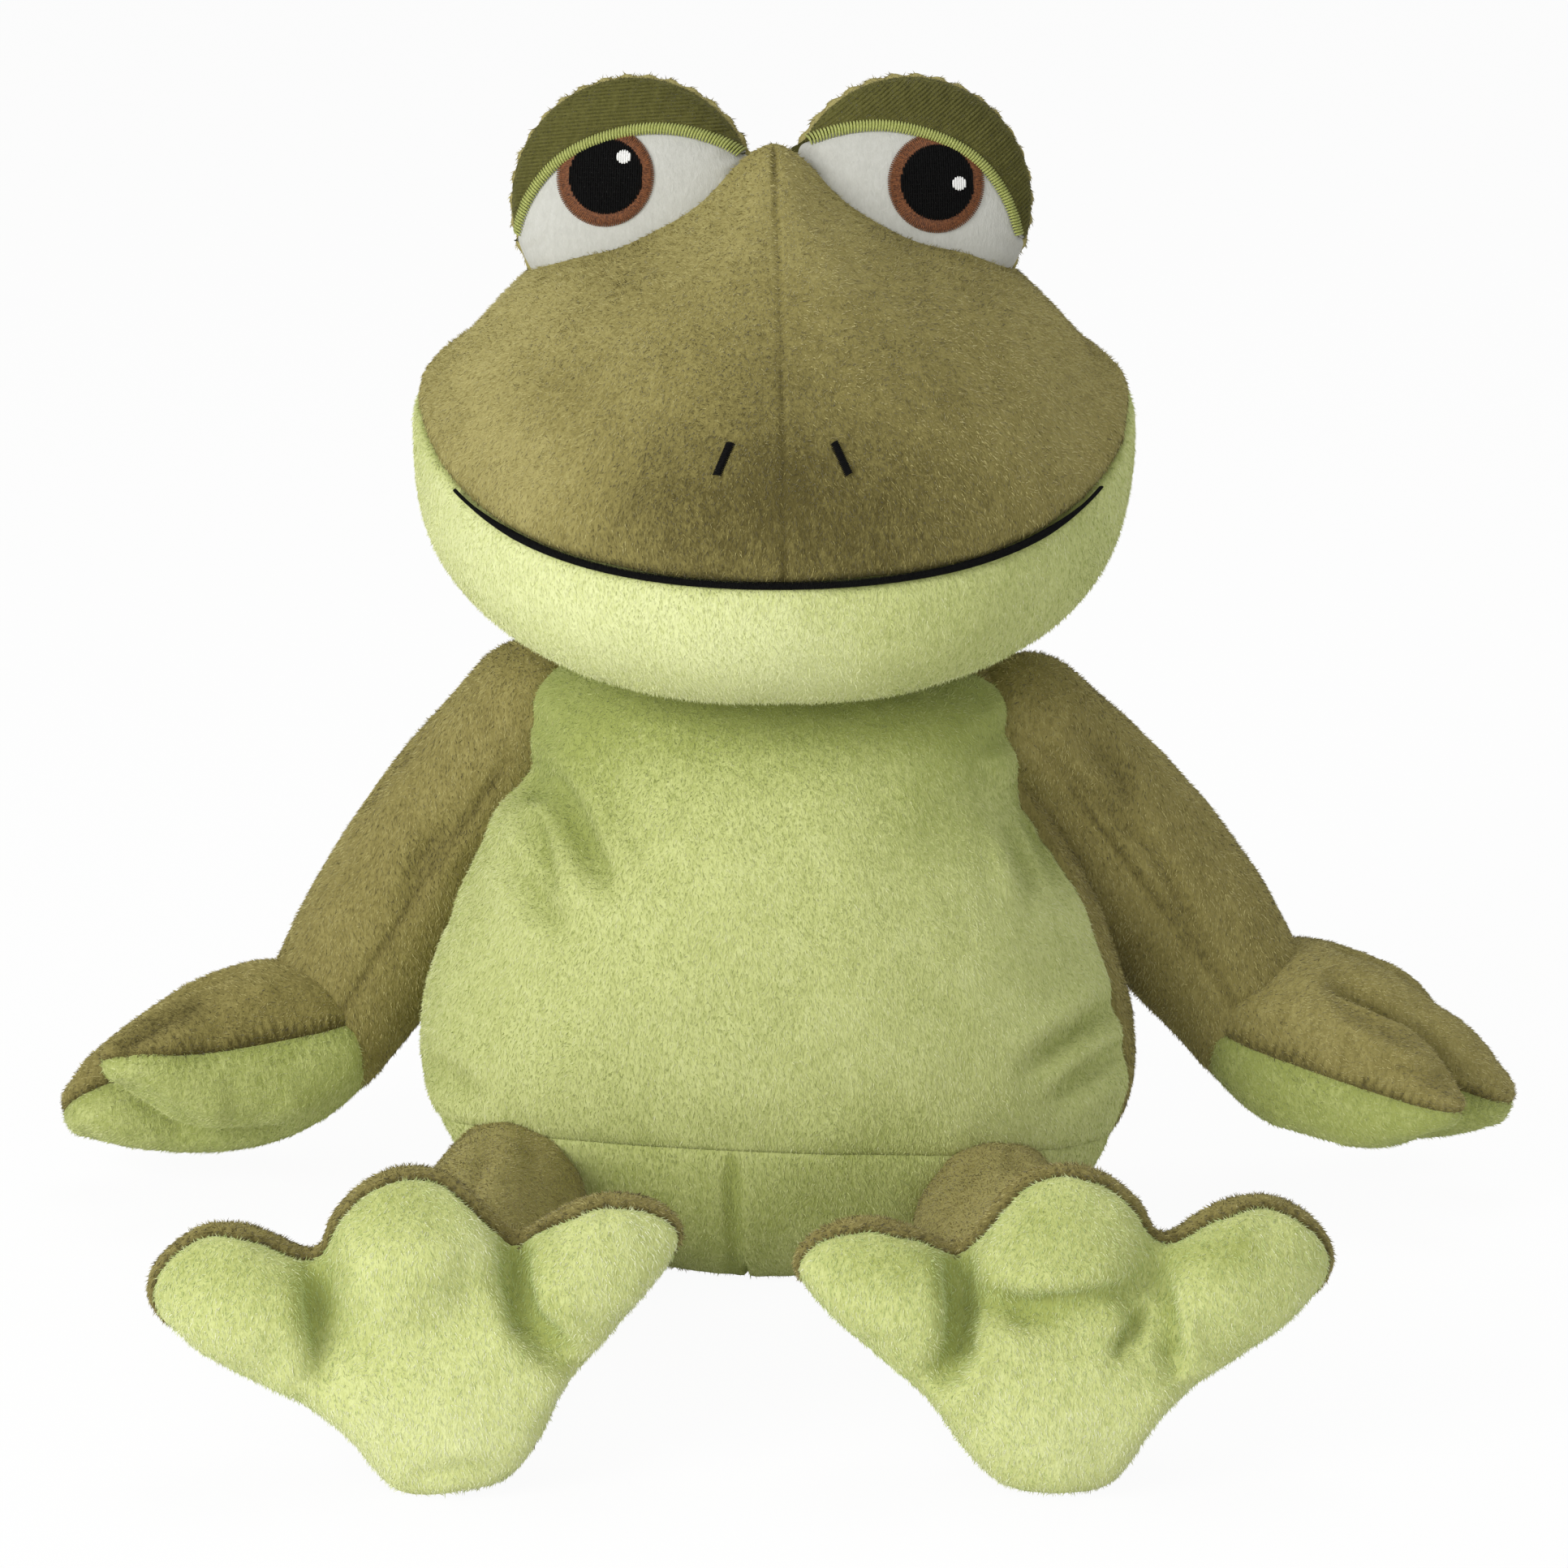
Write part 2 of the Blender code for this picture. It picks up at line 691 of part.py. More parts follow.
def upper_head_form():
    """The head above the mouth seam, rising to a peak between the eyes."""
    lift = Vector((0, 0, touch_gap / 2))
    last_ring = upper_head_shares[-1][0]
    rings = []
    for k in range(upper_rings):
        ring = head_ring(upper_head_shares, last_ring * k / (upper_rings - 1), head_top, head_fullness)
        rings.append([head_frame @ (point + lift) for point in ring])
    seam_middle = head_frame @ (Vector((0, 0, seam_height(0, 0) / 2)) + lift)
    return loft(rings, seam_middle, head_frame @ (Vector((0, 0, head_top)) + lift))


def make_head(neck_hollow):
    """The upper head and the jaw, which meet at the mouth seam."""
    lift = Vector((0, 0, touch_gap / 2))
    add_piece("head_upper", upper_head_form(), olive, plush_roughness, neck_centre)
    table = jaw_table()
    jaw = []
    for row in table:
        ring = head_ring(table, row[0], jaw_depth, head_fullness)
        jaw.append([head_frame @ (point - lift) for point in ring])
    chin = head_frame @ (Vector((0, 0, -jaw_depth)) - lift)
    seam_middle = head_frame @ (Vector((0, 0, seam_height(0, 0) / 2)) - lift)
    head_jaw = add_piece("head_jaw", loft(jaw, seam_middle, chin), pale_green, plush_roughness, neck_centre)
    cut(head_jaw, neck_hollow)


def eye_frame(side):
    place = Vector((side * eye_out, eye_behind, eye_above_seam))
    turn = Matrix.Rotation(side * eye_splay, 4, "Z") @ Matrix.Rotation(-eye_lean, 4, "X")
    return head_frame @ Matrix.Translation(place) @ turn


def eye_bulge(share, bulge):
    """How far the eye stands out from its rim's plane, at a share of the way to the rim."""
    return bulge * max(1 - share**eye_roundness, 0) ** (1 / 2)


def eye_half(side, bulge, facing):
    """Half of an eye's stuffed lens, its flat face at the rim's plane. Facing is -1 at the front."""
    frame = eye_frame(side)
    rings = []
    for k in range(eye_rings):
        share = sin(pi / 2 * (1 - k / eye_rings))
        depth = facing * (touch_gap / 2 + eye_bulge(share, bulge))
        radius = eye_radius * share
        rings.append(
            [frame @ Vector((radius * cos(2 * pi * n / eye_points), depth, radius * sin(2 * pi * n / eye_points)))
             for n in range(eye_points)]
        )
    rim = [
        frame @ Vector((eye_radius * cos(2 * pi * n / eye_points), facing * touch_gap / 2,
                        eye_radius * sin(2 * pi * n / eye_points)))
        for n in range(eye_points)
    ]
    edge = [
        frame @ Vector((eye_radius * cos(2 * pi * n / eye_points), facing * (touch_gap / 2 + panel_edge),
                        eye_radius * sin(2 * pi * n / eye_points)))
        for n in range(eye_points)
    ]
    tip = frame @ Vector((0, facing * (touch_gap / 2 + bulge), 0))
    return loft([rim, edge] + rings[1:], None, tip)


def lid_edge(side):
    """The lid's edge across the eye, from its outer end to its inner end."""
    points = [Vector((side * -across * eye_radius, up * eye_radius)) for across, up in lid_edge_shares]
    return smooth_curve(points, lid_edge_steps, False)


def lid_edge_across(side):
    """The direction across the lid's edge, towards the white, at each of its points."""
    edge = lid_edge(side)
    directions = []
    for k in range(len(edge)):
        along = (edge[min(k + 1, len(edge) - 1)] - edge[max(k - 1, 0)]).normalized()
        directions.append(Vector((-along.y, along.x)) * side)
    return directions


def lid_prism(side, grow):
    """The space above a lid's edge, as a block through the eye. It is grown past the edge."""
    frame = eye_frame(side)
    edge = []
    for spot, across in zip(lid_edge(side), lid_edge_across(side)):
        edge.append(spot + across * grow)
    far = eye_radius + cut_overrun
    ends = [Vector((far if end.x > 0 else -far, end.y - cut_overrun)) for end in (edge[0], edge[-1])]
    corners = [Vector((end.x, far)) for end in (ends[1], ends[0])]
    outline = [ends[0]] + edge + [ends[1]] + corners
    depth = eye_front_bulge + cut_overrun
    rings = [[frame @ Vector((p.x, y, p.y)) for p in outline] for y in (-depth, depth)]
    return loft(rings)


def eye_front_point(side, spot, height):
    """The place above a spot on the eye's front."""
    share = min(spot.length / eye_radius, 1)
    depth = touch_gap / 2 + eye_bulge(share, eye_front_bulge) + height
    return eye_frame(side) @ Vector((spot.x, -depth, spot.y))


def eye_patch(side, centre, outer, hole_centre, hole, level, count):
    """A thin stitched disc, or a ring round a hole, that follows the eye's front."""
    body = bmesh.new()
    bottom, top = [], []
    for share in (0, 1 / 2, 1):
        middle = hole_centre.lerp(centre, share)
        radius = hole + (outer - hole) * share
        angles = [2 * pi * n / count for n in range(count)]
        spots = [middle + Vector((cos(angle), sin(angle))) * radius for angle in angles]
        bottom.append([body.verts.new(eye_front_point(side, spot, level)) for spot in spots])
        top.append([body.verts.new(eye_front_point(side, spot, level + stitch_thickness)) for spot in spots])
    bands = [(bottom[0], bottom[1]), (bottom[1], bottom[2]), (top[1], top[0]), (top[2], top[1])]
    bands += [(bottom[2], top[2])]
    if hole > 0:
        bands += [(top[0], bottom[0])]
    for first, second in bands:
        for n in range(count):
            after = (n + 1) % count
            body.faces.new((first[n], first[after], second[after], second[n]))
    bmesh.ops.remove_doubles(body, verts=body.verts, dist=weld_distance)
    return body


def lid_trim_form(side):
    """The stitched rim that covers the lid's edge."""
    low, high = 2 * touch_gap, 2 * touch_gap + stitch_thickness
    rings = []
    for spot, direction in zip(lid_edge(side), lid_edge_across(side)):
        if spot.length > eye_radius * lid_trim_reach_share:
            continue
        across = direction * lid_edge_radius
        corners = [(spot - across, low), (spot + across, low), (spot + across / 2, high), (spot - across / 2, high)]
        rings.append([eye_front_point(side, place, height) for place, height in corners])
    return loft(rings)


def ribbon(points, outwards, width, thickness, gap):
    """A flat stitched line that lies on a surface, a gap above it, with both ends closed."""
    rings = []
    for k, (point, outward) in enumerate(zip(points, outwards)):
        along = (points[min(k + 1, len(points) - 1)] - points[max(k - 1, 0)]).normalized()
        across = along.cross(outward).normalized() * width / 2
        low = point + outward * gap
        high = low + outward * thickness
        rings.append([low - across, low + across, high + across / 2, high - across / 2])
    return loft(rings)


def make_eye(side, head_space):
    """One eye: white and lid at the front, the olive back, and the embroidery on the white."""
    name = side_names[side]
    lid_space = add_cutter(f"{name}_lid_space", lid_prism(side, 0))
    white_space = add_cutter(f"{name}_white_space", lid_prism(side, touch_gap))
    iris_space = add_cutter(f"{name}_iris_space", lid_prism(side, lid_edge_radius + touch_gap))
    white = add_piece(
        f"{name}_eye_white", eye_half(side, eye_front_bulge, -1), eye_cloth_white, plush_roughness, neck_centre
    )
    cut(white, white_space)
    lid = add_piece(
        f"{name}_eyelid", eye_half(side, eye_front_bulge, -1), lid_green, ribbed_roughness, neck_centre
    )
    cut(lid, lid_space, "INTERSECT")
    back = add_piece(f"{name}_eye_back", eye_half(side, eye_back_bulge, 1), olive, plush_roughness, neck_centre)
    for piece in (white, lid, back):
        cut(piece, head_space)

    iris_middle = iris_place[side]
    pupil_middle = iris_middle + pupil_shift[side]
    catchlight_middle = pupil_middle + catchlight_shift[side]
    hole = pupil_radius + touch_gap
    on_pupil = 2 * touch_gap + stitch_thickness
    stitched = (
        ("iris", iris_brown, iris_middle, iris_radius, hole, touch_gap, iris_points),
        ("pupil", thread_black, pupil_middle, pupil_radius, 0, touch_gap, iris_points),
        ("catchlight", thread_white, catchlight_middle, catchlight_radius, 0, on_pupil, catchlight_points),
    )
    for piece_name, colour, middle, radius, inner, level, count in stitched:
        hole_middle = pupil_middle if inner else middle
        body = eye_patch(side, middle, radius, hole_middle, inner, level, count)
        patch = add_piece(f"{name}_{piece_name}", body, colour, thread_roughness, neck_centre)
        cut(patch, iris_space)
    trim = add_piece(f"{name}_lid_trim", lid_trim_form(side), lid_edge_green, thread_roughness, neck_centre)
    cut(trim, head_space)


def make_mouth_and_nostrils():
    """Satin stitches: a long line along the mouth seam and a short bar for each nostril."""
    points, outwards = [], []
    for k in range(mouth_line_points):
        angle = -pi / 2 + mouth_line_reach * (2 * k / (mouth_line_points - 1) - 1)
        point, outward = head_surface(angle, 0)
        points.append(point)
        outwards.append(outward)
    add_piece(
        "mouth_line", ribbon(points, outwards, mouth_line_width, stitch_thickness, 2 * touch_gap),
        thread_black, thread_roughness, neck_centre,
    )
    nostril_height_share = 0.37
    for side, name in side_names.items():
        angle = -pi / 2 + side * nostril_spread / head_front
        middle, outward = head_surface(angle, nostril_height_share)
        level = Vector((0, 0, 1)).cross(outward).normalized()
        rising = outward.cross(level)
        along = rising * cos(nostril_lean) - level * side * sin(nostril_lean)
        steps = [-1 / 2, 0, 1 / 2]
        bar = [middle + along * nostril_length * step for step in steps]
        add_piece(
            f"{name}_nostril", ribbon(bar, [outward] * len(bar), nostril_width, stitch_thickness, 2 * touch_gap),
            thread_black, thread_roughness, neck_centre,
        )


def shoulder_place(side):
    return torso_frame @ Vector((side * shoulder_out, shoulder_back, torso_height - shoulder_below_top))


def hip_place(side):
    return torso_frame @ Vector((side * hip_out, -hip_forward, hip_radius + leg_floor_gap))


def reached(side, start, reach):
    """The place that lies outwards, back and down from a start."""
    out, back, down = reach
    return start + Vector((side * out, back, -down))


def elbow_place(side):
    return reached(side, shoulder_place(side), shoulder_to_elbow[side])


def wrist_place(side):
    return reached(side, shoulder_place(side), shoulder_to_wrist[side])


def arm_path(side):
    """Points from the shoulder through the elbow to the wrist."""
    start, bend, end = shoulder_place(side), elbow_place(side), wrist_place(side)
    pull = bend * 2 - (start + end) / 2
    centres = []
    for k in range(arm_rings):
        t = k / (arm_rings - 1)
        centres.append(start * (1 - t) ** 2 + pull * 2 * t * (1 - t) + end * t**2)
    return centres


def hand_frame(side, share):
    """The hand's own axes at a share of its length: along the fingers, across, and out of the palm."""
    sweep = Matrix.Rotation(side * -finger_sweep[side], 3, "Z")
    along = sweep @ Vector((side * cos(finger_fall[side]), 0, -sin(finger_fall[side])))
    tilt = wrist_tilt[side] + (finger_tilt[side] - wrist_tilt[side]) * min(max(share, 0), 1)
    out = Matrix.Rotation(-tilt, 3, "X") @ Vector((0, 0, -1))
    out = (out - along * out.dot(along)).normalized()
    across = out.cross(along)
    return along, across, out


def hand_point(side, a, b, lift):
    """The place at some distance along and across the hand, lifted towards the palm."""
    share = a / hand_length
    along, across, out = hand_frame(side, share)
    droop = hand_droop * max(share, 0) ** 2
    return wrist_place(side) + along * a + across * b + out * (lift + droop)


def make_arm(side):
    """An arm, and a hand of two pillow halves socketed on the arm's round end."""
    name = side_names[side]
    centres = arm_path(side)
    radii = []
    for k in range(arm_rings):
        at_shoulder, at_elbow, at_wrist = table_at(arm_thickness_shares, k / (arm_rings - 1))
        radii.append(shoulder_radius * at_shoulder + arm_radius * at_elbow + wrist_radius * at_wrist)
    add_piece(f"{name}_arm", tube(centres, radii, arm_points), olive, plush_roughness, centres[0])

    grip = wrist_place(side)
    outline = smooth_curve(
        [Vector((along * hand_length, across * hand_width)) for along, across in hand_outline_shares],
        curve_steps, True,
    )
    backwards = (centres[-3] - centres[-1]).normalized()
    arm_end = [(grip, wrist_radius), (grip + backwards * wrist_taper, arm_radius)]
    wrist_hinge = hand_frame(side, 0)[1]
    socket = add_cutter(f"{name}_wrist_space", swept_space(grip, arm_end, wrist_hinge, wrist_swing))
    halves = (
        (f"{name}_palm", palm_bulge, 1, pale_green),
        (f"{name}_hand_back", hand_back_bulge, -1, olive),
    )
    for piece_name, bulge, facing, colour in halves:
        body = pillow_half(outline, hand_grid, bulge, facing, lambda a, b, h: hand_point(side, a, b, h))
        piece = add_piece(piece_name, body, colour, plush_roughness, grip)
        cut(piece, socket)


def foot_frame(side):
    """The foot's own axes: across towards the outer toe, up the sole, and out of the sole."""
    roll = Matrix.Rotation(side * foot_roll[side], 3, "Y")
    across = roll @ Vector((side, 0, 0))
    up = Matrix.Rotation(-foot_lean, 3, "X") @ (roll @ Vector((0, 0, 1)))
    out = Vector((0, -cos(foot_lean), sin(foot_lean)))
    return across, up, out


def heel_place(side):
    """Where the foot's heel meets the floor."""
    out, forward = hip_to_heel[side]
    hip = hip_place(side)
    return Vector((hip.x + side * out, hip.y - forward, 0))


def ankle_place(side):
    across, up, out = foot_frame(side)
    return heel_place(side) + up * foot_length * ankle_share - out * ankle_behind_sole


def leg_path(side):
    start, end = hip_place(side), ankle_place(side)
    return [start.lerp(end, k / (leg_rings - 1)) for k in range(leg_rings)]


def make_leg(side):
    """A leg, and a foot of two pillow halves whose back is socketed on the leg's round end."""
    name = side_names[side]
    centres = leg_path(side)
    radii = []
    for k in range(leg_rings):
        t = k / (leg_rings - 1)
        end_radius = hip_radius if t < leg_thickest_share else ankle_radius
        radii.append(leg_radius + (end_radius - leg_radius) * (t / leg_thickest_share - 1) ** 2)
    add_piece(f"{name}_leg", tube(centres, radii, leg_points), olive, plush_roughness, centres[0])

    across, up, out = foot_frame(side)
    heel = heel_place(side) - Vector((0, 0, floor_trim))
    outline = smooth_curve(
        [Vector((wide * foot_width, high * foot_length)) for wide, high in foot_outline_shares],
        curve_steps, True,
    )
    ankle = centres[-1]
    backwards = (centres[0] - centres[-1]).normalized()
    leg_end = [(ankle, ankle_radius), (ankle + backwards * foot_length, leg_radius)]
    socket = add_cutter(f"{name}_ankle_space", swept_space(ankle, leg_end, "X", ankle_swing))
    halves = (
        (f"{name}_sole", sole_bulge, 1, pale_green),
        (f"{name}_foot_top", foot_top_bulge, -1, olive),
    )
    for piece_name, bulge, facing, colour in halves:
        body = pillow_half(
            outline, foot_grid, bulge, facing, lambda a, b, h: heel + across * a + up * b + out * h
        )
        body = keep_side(body, Vector((0, 0, 0)), Vector((0, 0, 1)))
        piece = add_piece(piece_name, body, colour, plush_roughness, ankle)
        cut(piece, socket)


def make_frog():
    clear_scene()
    hollows = []
    for side, name in side_names.items():
        arm = arm_path(side)
        arm_balls = [(arm[0], shoulder_radius)]
        arm_balls += [(arm[round(share * (arm_rings - 1))], arm_radius) for share in arm_clear_shares]
        space = swept_space(arm[0], arm_balls, "X", shoulder_swing)
        hollows.append(add_cutter(f"{name}_shoulder_space", space))
        leg = leg_path(side)
        leg_balls = [(leg[0], hip_radius), (leg[1], leg_radius), (leg[leg_rings // 2], leg_radius)]
        space = swept_space(leg[0], leg_balls, "X", hip_swing)
        hollows.append(add_cutter(f"{name}_hip_space", space))
    neck_hollow = add_cutter("neck_space", ball(neck_centre, (neck_radius + touch_gap) * neck_hollow_share))
    make_torso(hollows + [neck_hollow])
    add_piece("neck", ball(neck_centre, neck_radius), olive, plush_roughness, neck_centre)
    make_head(neck_hollow)
    head_space = add_cutter("head_space", grown(upper_head_form(), touch_gap))
    for side in side_names:
        make_eye(side, head_space)
    make_mouth_and_nostrils()
    for side in side_names:
        make_arm(side)
        make_leg(side)


make_frog()
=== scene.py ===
"""A seated plush frog: sewn, stuffed plush panels and embroidery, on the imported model's frame."""

from math import atan2, cos, pi, radians, sin, sqrt

import bmesh
import bpy
import json
import numpy as np
from mathutils import Matrix, Vector, geometry, kdtree

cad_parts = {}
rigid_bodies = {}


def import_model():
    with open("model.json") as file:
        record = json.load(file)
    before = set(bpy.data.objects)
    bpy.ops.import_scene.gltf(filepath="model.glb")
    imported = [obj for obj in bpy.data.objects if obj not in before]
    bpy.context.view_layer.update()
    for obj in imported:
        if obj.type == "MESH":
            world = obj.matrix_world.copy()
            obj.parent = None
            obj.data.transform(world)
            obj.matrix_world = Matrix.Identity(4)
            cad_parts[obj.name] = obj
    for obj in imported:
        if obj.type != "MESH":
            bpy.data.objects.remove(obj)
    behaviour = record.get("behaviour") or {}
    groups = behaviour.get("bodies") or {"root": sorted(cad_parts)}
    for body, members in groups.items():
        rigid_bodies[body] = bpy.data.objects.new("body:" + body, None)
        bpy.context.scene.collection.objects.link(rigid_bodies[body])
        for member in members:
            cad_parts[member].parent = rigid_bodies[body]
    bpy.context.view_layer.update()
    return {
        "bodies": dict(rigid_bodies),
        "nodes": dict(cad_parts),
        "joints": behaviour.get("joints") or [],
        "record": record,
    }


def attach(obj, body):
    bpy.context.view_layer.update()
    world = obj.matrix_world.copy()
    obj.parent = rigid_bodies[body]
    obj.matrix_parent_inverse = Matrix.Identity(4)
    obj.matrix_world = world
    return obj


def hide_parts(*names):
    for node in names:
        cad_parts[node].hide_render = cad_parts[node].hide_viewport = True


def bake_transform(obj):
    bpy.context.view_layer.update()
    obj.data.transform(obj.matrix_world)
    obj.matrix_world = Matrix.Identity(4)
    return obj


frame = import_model()


# The photographer's camera looks slightly down at the frog, straight at its middle.
# A pixel of the photograph is found from a place on the frog,
# so that folds lie where the photograph has them.
camera_target = Vector((0.0015, 0, 0.110))
camera_distance = 1.4
camera_rise = radians(15)
picture_pixels = 1932
focal_pixels = 7000
sensor_width = 36
farthest_seen = 20
towards_camera = Vector((0, -cos(camera_rise), sin(camera_rise)))
camera_up = Vector((0, sin(camera_rise), cos(camera_rise)))


def pixels_of(places):
    """The pixel across and down at which each place is seen, and the pixels that a metre takes there."""
    from_target = places - np.array(camera_target)
    depth = camera_distance - from_target @ np.array(towards_camera)
    scale = focal_pixels / depth
    across = picture_pixels / 2 + from_target[:, 0] * scale
    down = picture_pixels / 2 - (from_target @ np.array(camera_up)) * scale
    return np.stack([across, down], 1), scale


def add_object(name, data):
    """A new object in the scene."""
    made = bpy.data.objects.new(name, data)
    bpy.context.scene.collection.objects.link(made)
    return made


camera = add_object("camera", bpy.data.cameras.new("camera"))
camera.location = camera_target + towards_camera * camera_distance
camera.rotation_euler = (pi / 2 - camera_rise, 0, 0)
camera.data.sensor_width = sensor_width
camera.data.lens = focal_pixels / picture_pixels * sensor_width
camera.data.clip_end = farthest_seen
bpy.context.scene.camera = camera
bpy.context.scene.view_settings.view_transform = "Standard"


# A plain studio: a pale floor that runs out of view, a large soft lamp up to the left,
# a weaker one to the right and an even white surround. The floor keeps the frog's soft shadow.
class Wire:
    """The output of a shader node. Sums, differences and products of wires write their Math nodes."""

    def __init__(self, tree, socket=None):
        self.tree = tree
        self.socket = socket

    def node(self, kind, settings, sockets, output=0):
        """A new node. Its settings are set first, then its sockets get their values or wires."""
        made = self.tree.nodes.new(kind)
        for name, value in settings.items():
            if name == "stops":
                ramp = made.color_ramp.elements
                while len(ramp) < len(value):
                    ramp.new(1)
                for stop, (place, colour) in zip(ramp, value):
                    stop.position = place
                    stop.color = (*colour, 1)
            else:
                setattr(made, name, value)
        for name, value in sockets.items():
            if isinstance(value, Wire):
                self.tree.links.new(value.socket, made.inputs[name])
            else:
                made.inputs[name].default_value = value
        return Wire(self.tree, made.outputs[output] if len(made.outputs) else None)

    def maths(self, operation, first, second):
        return self.node("ShaderNodeMath", {"operation": operation}, {0: first, 1: second})

    def __add__(self, other):
        return self.maths("ADD", self, other)

    def __sub__(self, other):
        return self.maths("SUBTRACT", self, other)

    def __rsub__(self, other):
        return self.maths("SUBTRACT", other, self)

    def __mul__(self, other):
        return self.maths("MULTIPLY", self, other)

    __radd__ = __add__
    __rmul__ = __mul__


def new_material(name):
    """An empty material and the wire that starts its nodes."""
    material = bpy.data.materials.new(name)
    material.use_nodes = True
    material.node_tree.nodes.clear()
    return material, Wire(material.node_tree)


def surface(wire, sockets):
    """The shader of a material with its sockets set, as the material's surface."""
    shader = wire.node("ShaderNodeBsdfPrincipled", {}, sockets)
    wire.node("ShaderNodeOutputMaterial", {}, {"Surface": shader})


floor_grey = (0.90, 0.90, 0.89, 1)
floor_whitening = 0.95
floor_size = 8.0
floor_material, wire = new_material("floor_paper")
seen_directly = wire.node("ShaderNodeLightPath", {}, {}, "Is Camera Ray")
paper = wire.node("ShaderNodeBsdfDiffuse", {}, {"Color": floor_grey})
white = wire.node("ShaderNodeEmission", {}, {"Color": (1, 1, 1, 1), "Strength": 1.0})
mixed = wire.node("ShaderNodeMixShader", {}, {0: seen_directly * floor_whitening, 1: paper, 2: white})
wire.node("ShaderNodeOutputMaterial", {}, {"Surface": mixed})
floor = add_object("floor", bpy.data.meshes.new("floor"))
far = floor_size / 2
floor.data.from_pydata([(-far, -far, 0), (far, -far, 0), (far, far, 0), (-far, far, 0)], [], [(0, 1, 2, 3)])
floor.data.materials.append(floor_material)

world = bpy.data.worlds.new("studio")
bpy.context.scene.world = world
world.use_nodes = True
world.node_tree.nodes.clear()
wire = Wire(world.node_tree)
seen_directly = wire.node("ShaderNodeLightPath", {}, {}, "Is Camera Ray")
surround_strength = 0.42
surround = wire.node("ShaderNodeBackground", {}, {"Color": (1, 1, 1, 1), "Strength": surround_strength})
backdrop = wire.node("ShaderNodeBackground", {}, {"Color": (1, 1, 1, 1), "Strength": 1.0})
mixed = wire.node("ShaderNodeMixShader", {}, {0: seen_directly, 1: surround, 2: backdrop})
wire.node("ShaderNodeOutputWorld", {}, {"Surface": mixed})

# Each lamp's place, width and watts
lamps = (
    ("key_lamp", (-1.10, -1.15, 0.75), 0.90, 19.0),
    ("fill_lamp", (0.45, -1.60, 0.42), 1.00, 5.5),
    ("top_lamp", (0.10, 0.30, 1.40), 0.80, 5.0),
)
for lamp_name, place, size, watts in lamps:
    lamp = add_object(lamp_name, bpy.data.lights.new(lamp_name, "AREA"))
    lamp.data.shape = "DISK"
    lamp.data.size = size
    lamp.data.energy = watts
    lamp.location = place
    lamp.rotation_euler = (camera_target - Vector(place)).to_track_quat("-Z", "Y").to_euler()


# The torso: a pear of pale green plush in front and under the seat, and olive plush behind.
# The stuffed panels are sewn together along the sides and round the seat.
# The arms pull folds into the chest.
torso_height = 0.143
torso_half_width = 0.0885
torso_front = 0.072
torso_back = 0.060
torso_turn = radians(-8)
torso_fullness = 2.15
side_seam_back = 0.001
side_seam_turn = radians(-8)
seat_seam_height = 0.024
seat_seam_slope = 0.2
# From the floor up: place along the form, then shares of height, half width, front and back
torso_shares = [
    (0.00, 0.000, 0.720, 0.700, 0.720),
    (0.06, 0.022, 0.785, 0.800, 0.810),
    (0.14, 0.080, 0.865, 0.885, 0.890),
    (0.22, 0.165, 0.935, 0.950, 0.960),
    (0.32, 0.270, 1.000, 0.990, 1.000),
    (0.42, 0.385, 0.985, 1.000, 0.990),
    (0.52, 0.510, 0.925, 0.970, 0.945),
    (0.60, 0.625, 0.850, 0.920, 0.880),
    (0.68, 0.725, 0.765, 0.850, 0.790),
    (0.75, 0.805, 0.695, 0.775, 0.730),
    (0.82, 0.880, 0.685, 0.690, 0.670),
    (0.89, 0.945, 0.660, 0.590, 0.590),
    (0.95, 0.985, 0.575, 0.470, 0.480),
    (1.00, 1.000, 0.420, 0.340, 0.350),
]
belly_columns, back_columns = 84, 76
torso_rows, seat_rows, underside_rows = 62, 12, 9
torso_heights = 120  # heights at which the form is worked out before the panels are laid on it


def table_at(rows, at):
    """The values of a table at a place along its first column, on a smooth curve through its rows."""
    last = len(rows) - 1
    k = 0
    while k < last - 1 and at > rows[k + 1][0]:
        k += 1
    before, start, end, after = rows[max(k - 1, 0)], rows[k], rows[k + 1], rows[min(k + 2, last)]
    span = end[0] - start[0]
    t = min(max((at - start[0]) / span, 0), 1)
    values = []
    for column in range(1, len(start)):
        slope_in = (end[column] - before[column]) / (end[0] - before[0])
        slope_out = (after[column] - start[column]) / (after[0] - start[0])
        values.append(
            (2 * t**3 - 3 * t**2 + 1) * start[column]
            + (t**3 - 2 * t**2 + t) * span * slope_in
            + (3 * t**2 - 2 * t**3) * end[column]
            + (t**3 - t**2) * span * slope_out
        )
    return values


def spaced(points, count):
    """A number of points evenly along an open line."""
    steps = np.linalg.norm(np.diff(points, axis=0), axis=1)
    along = np.concatenate([[0], np.cumsum(steps)])
    wanted = np.linspace(0, along[-1], count)
    return np.stack([np.interp(wanted, along, points[:, k]) for k in range(points.shape[1])], 1)


def power(values, exponent):
    """A power that keeps the sign."""
    return np.sign(values) * np.abs(values) ** exponent


def grid_faces(rows, columns, wrap):
    """The faces of a grid of points, row by row. A wrapped grid joins its last column to its first."""
    faces = []
    for r in range(rows - 1):
        for c in range(columns if wrap else columns - 1):
            after = (c + 1) % columns
            low, high = r * columns, (r + 1) * columns
            faces.append((low + c, low + after, high + after, high + c))
    return faces


def capped(points, faces, ring, tip, flip):
    """The points and faces with a fan from a ring of points to a tip."""
    points = np.vstack([points, [tip]])
    last = len(points) - 1
    fan = []
    for k in range(len(ring)):
        pair = (ring[k], ring[(k + 1) % len(ring)])
        fan.append((pair[1], pair[0], last) if flip else (pair[0], pair[1], last))
    return points, faces + fan


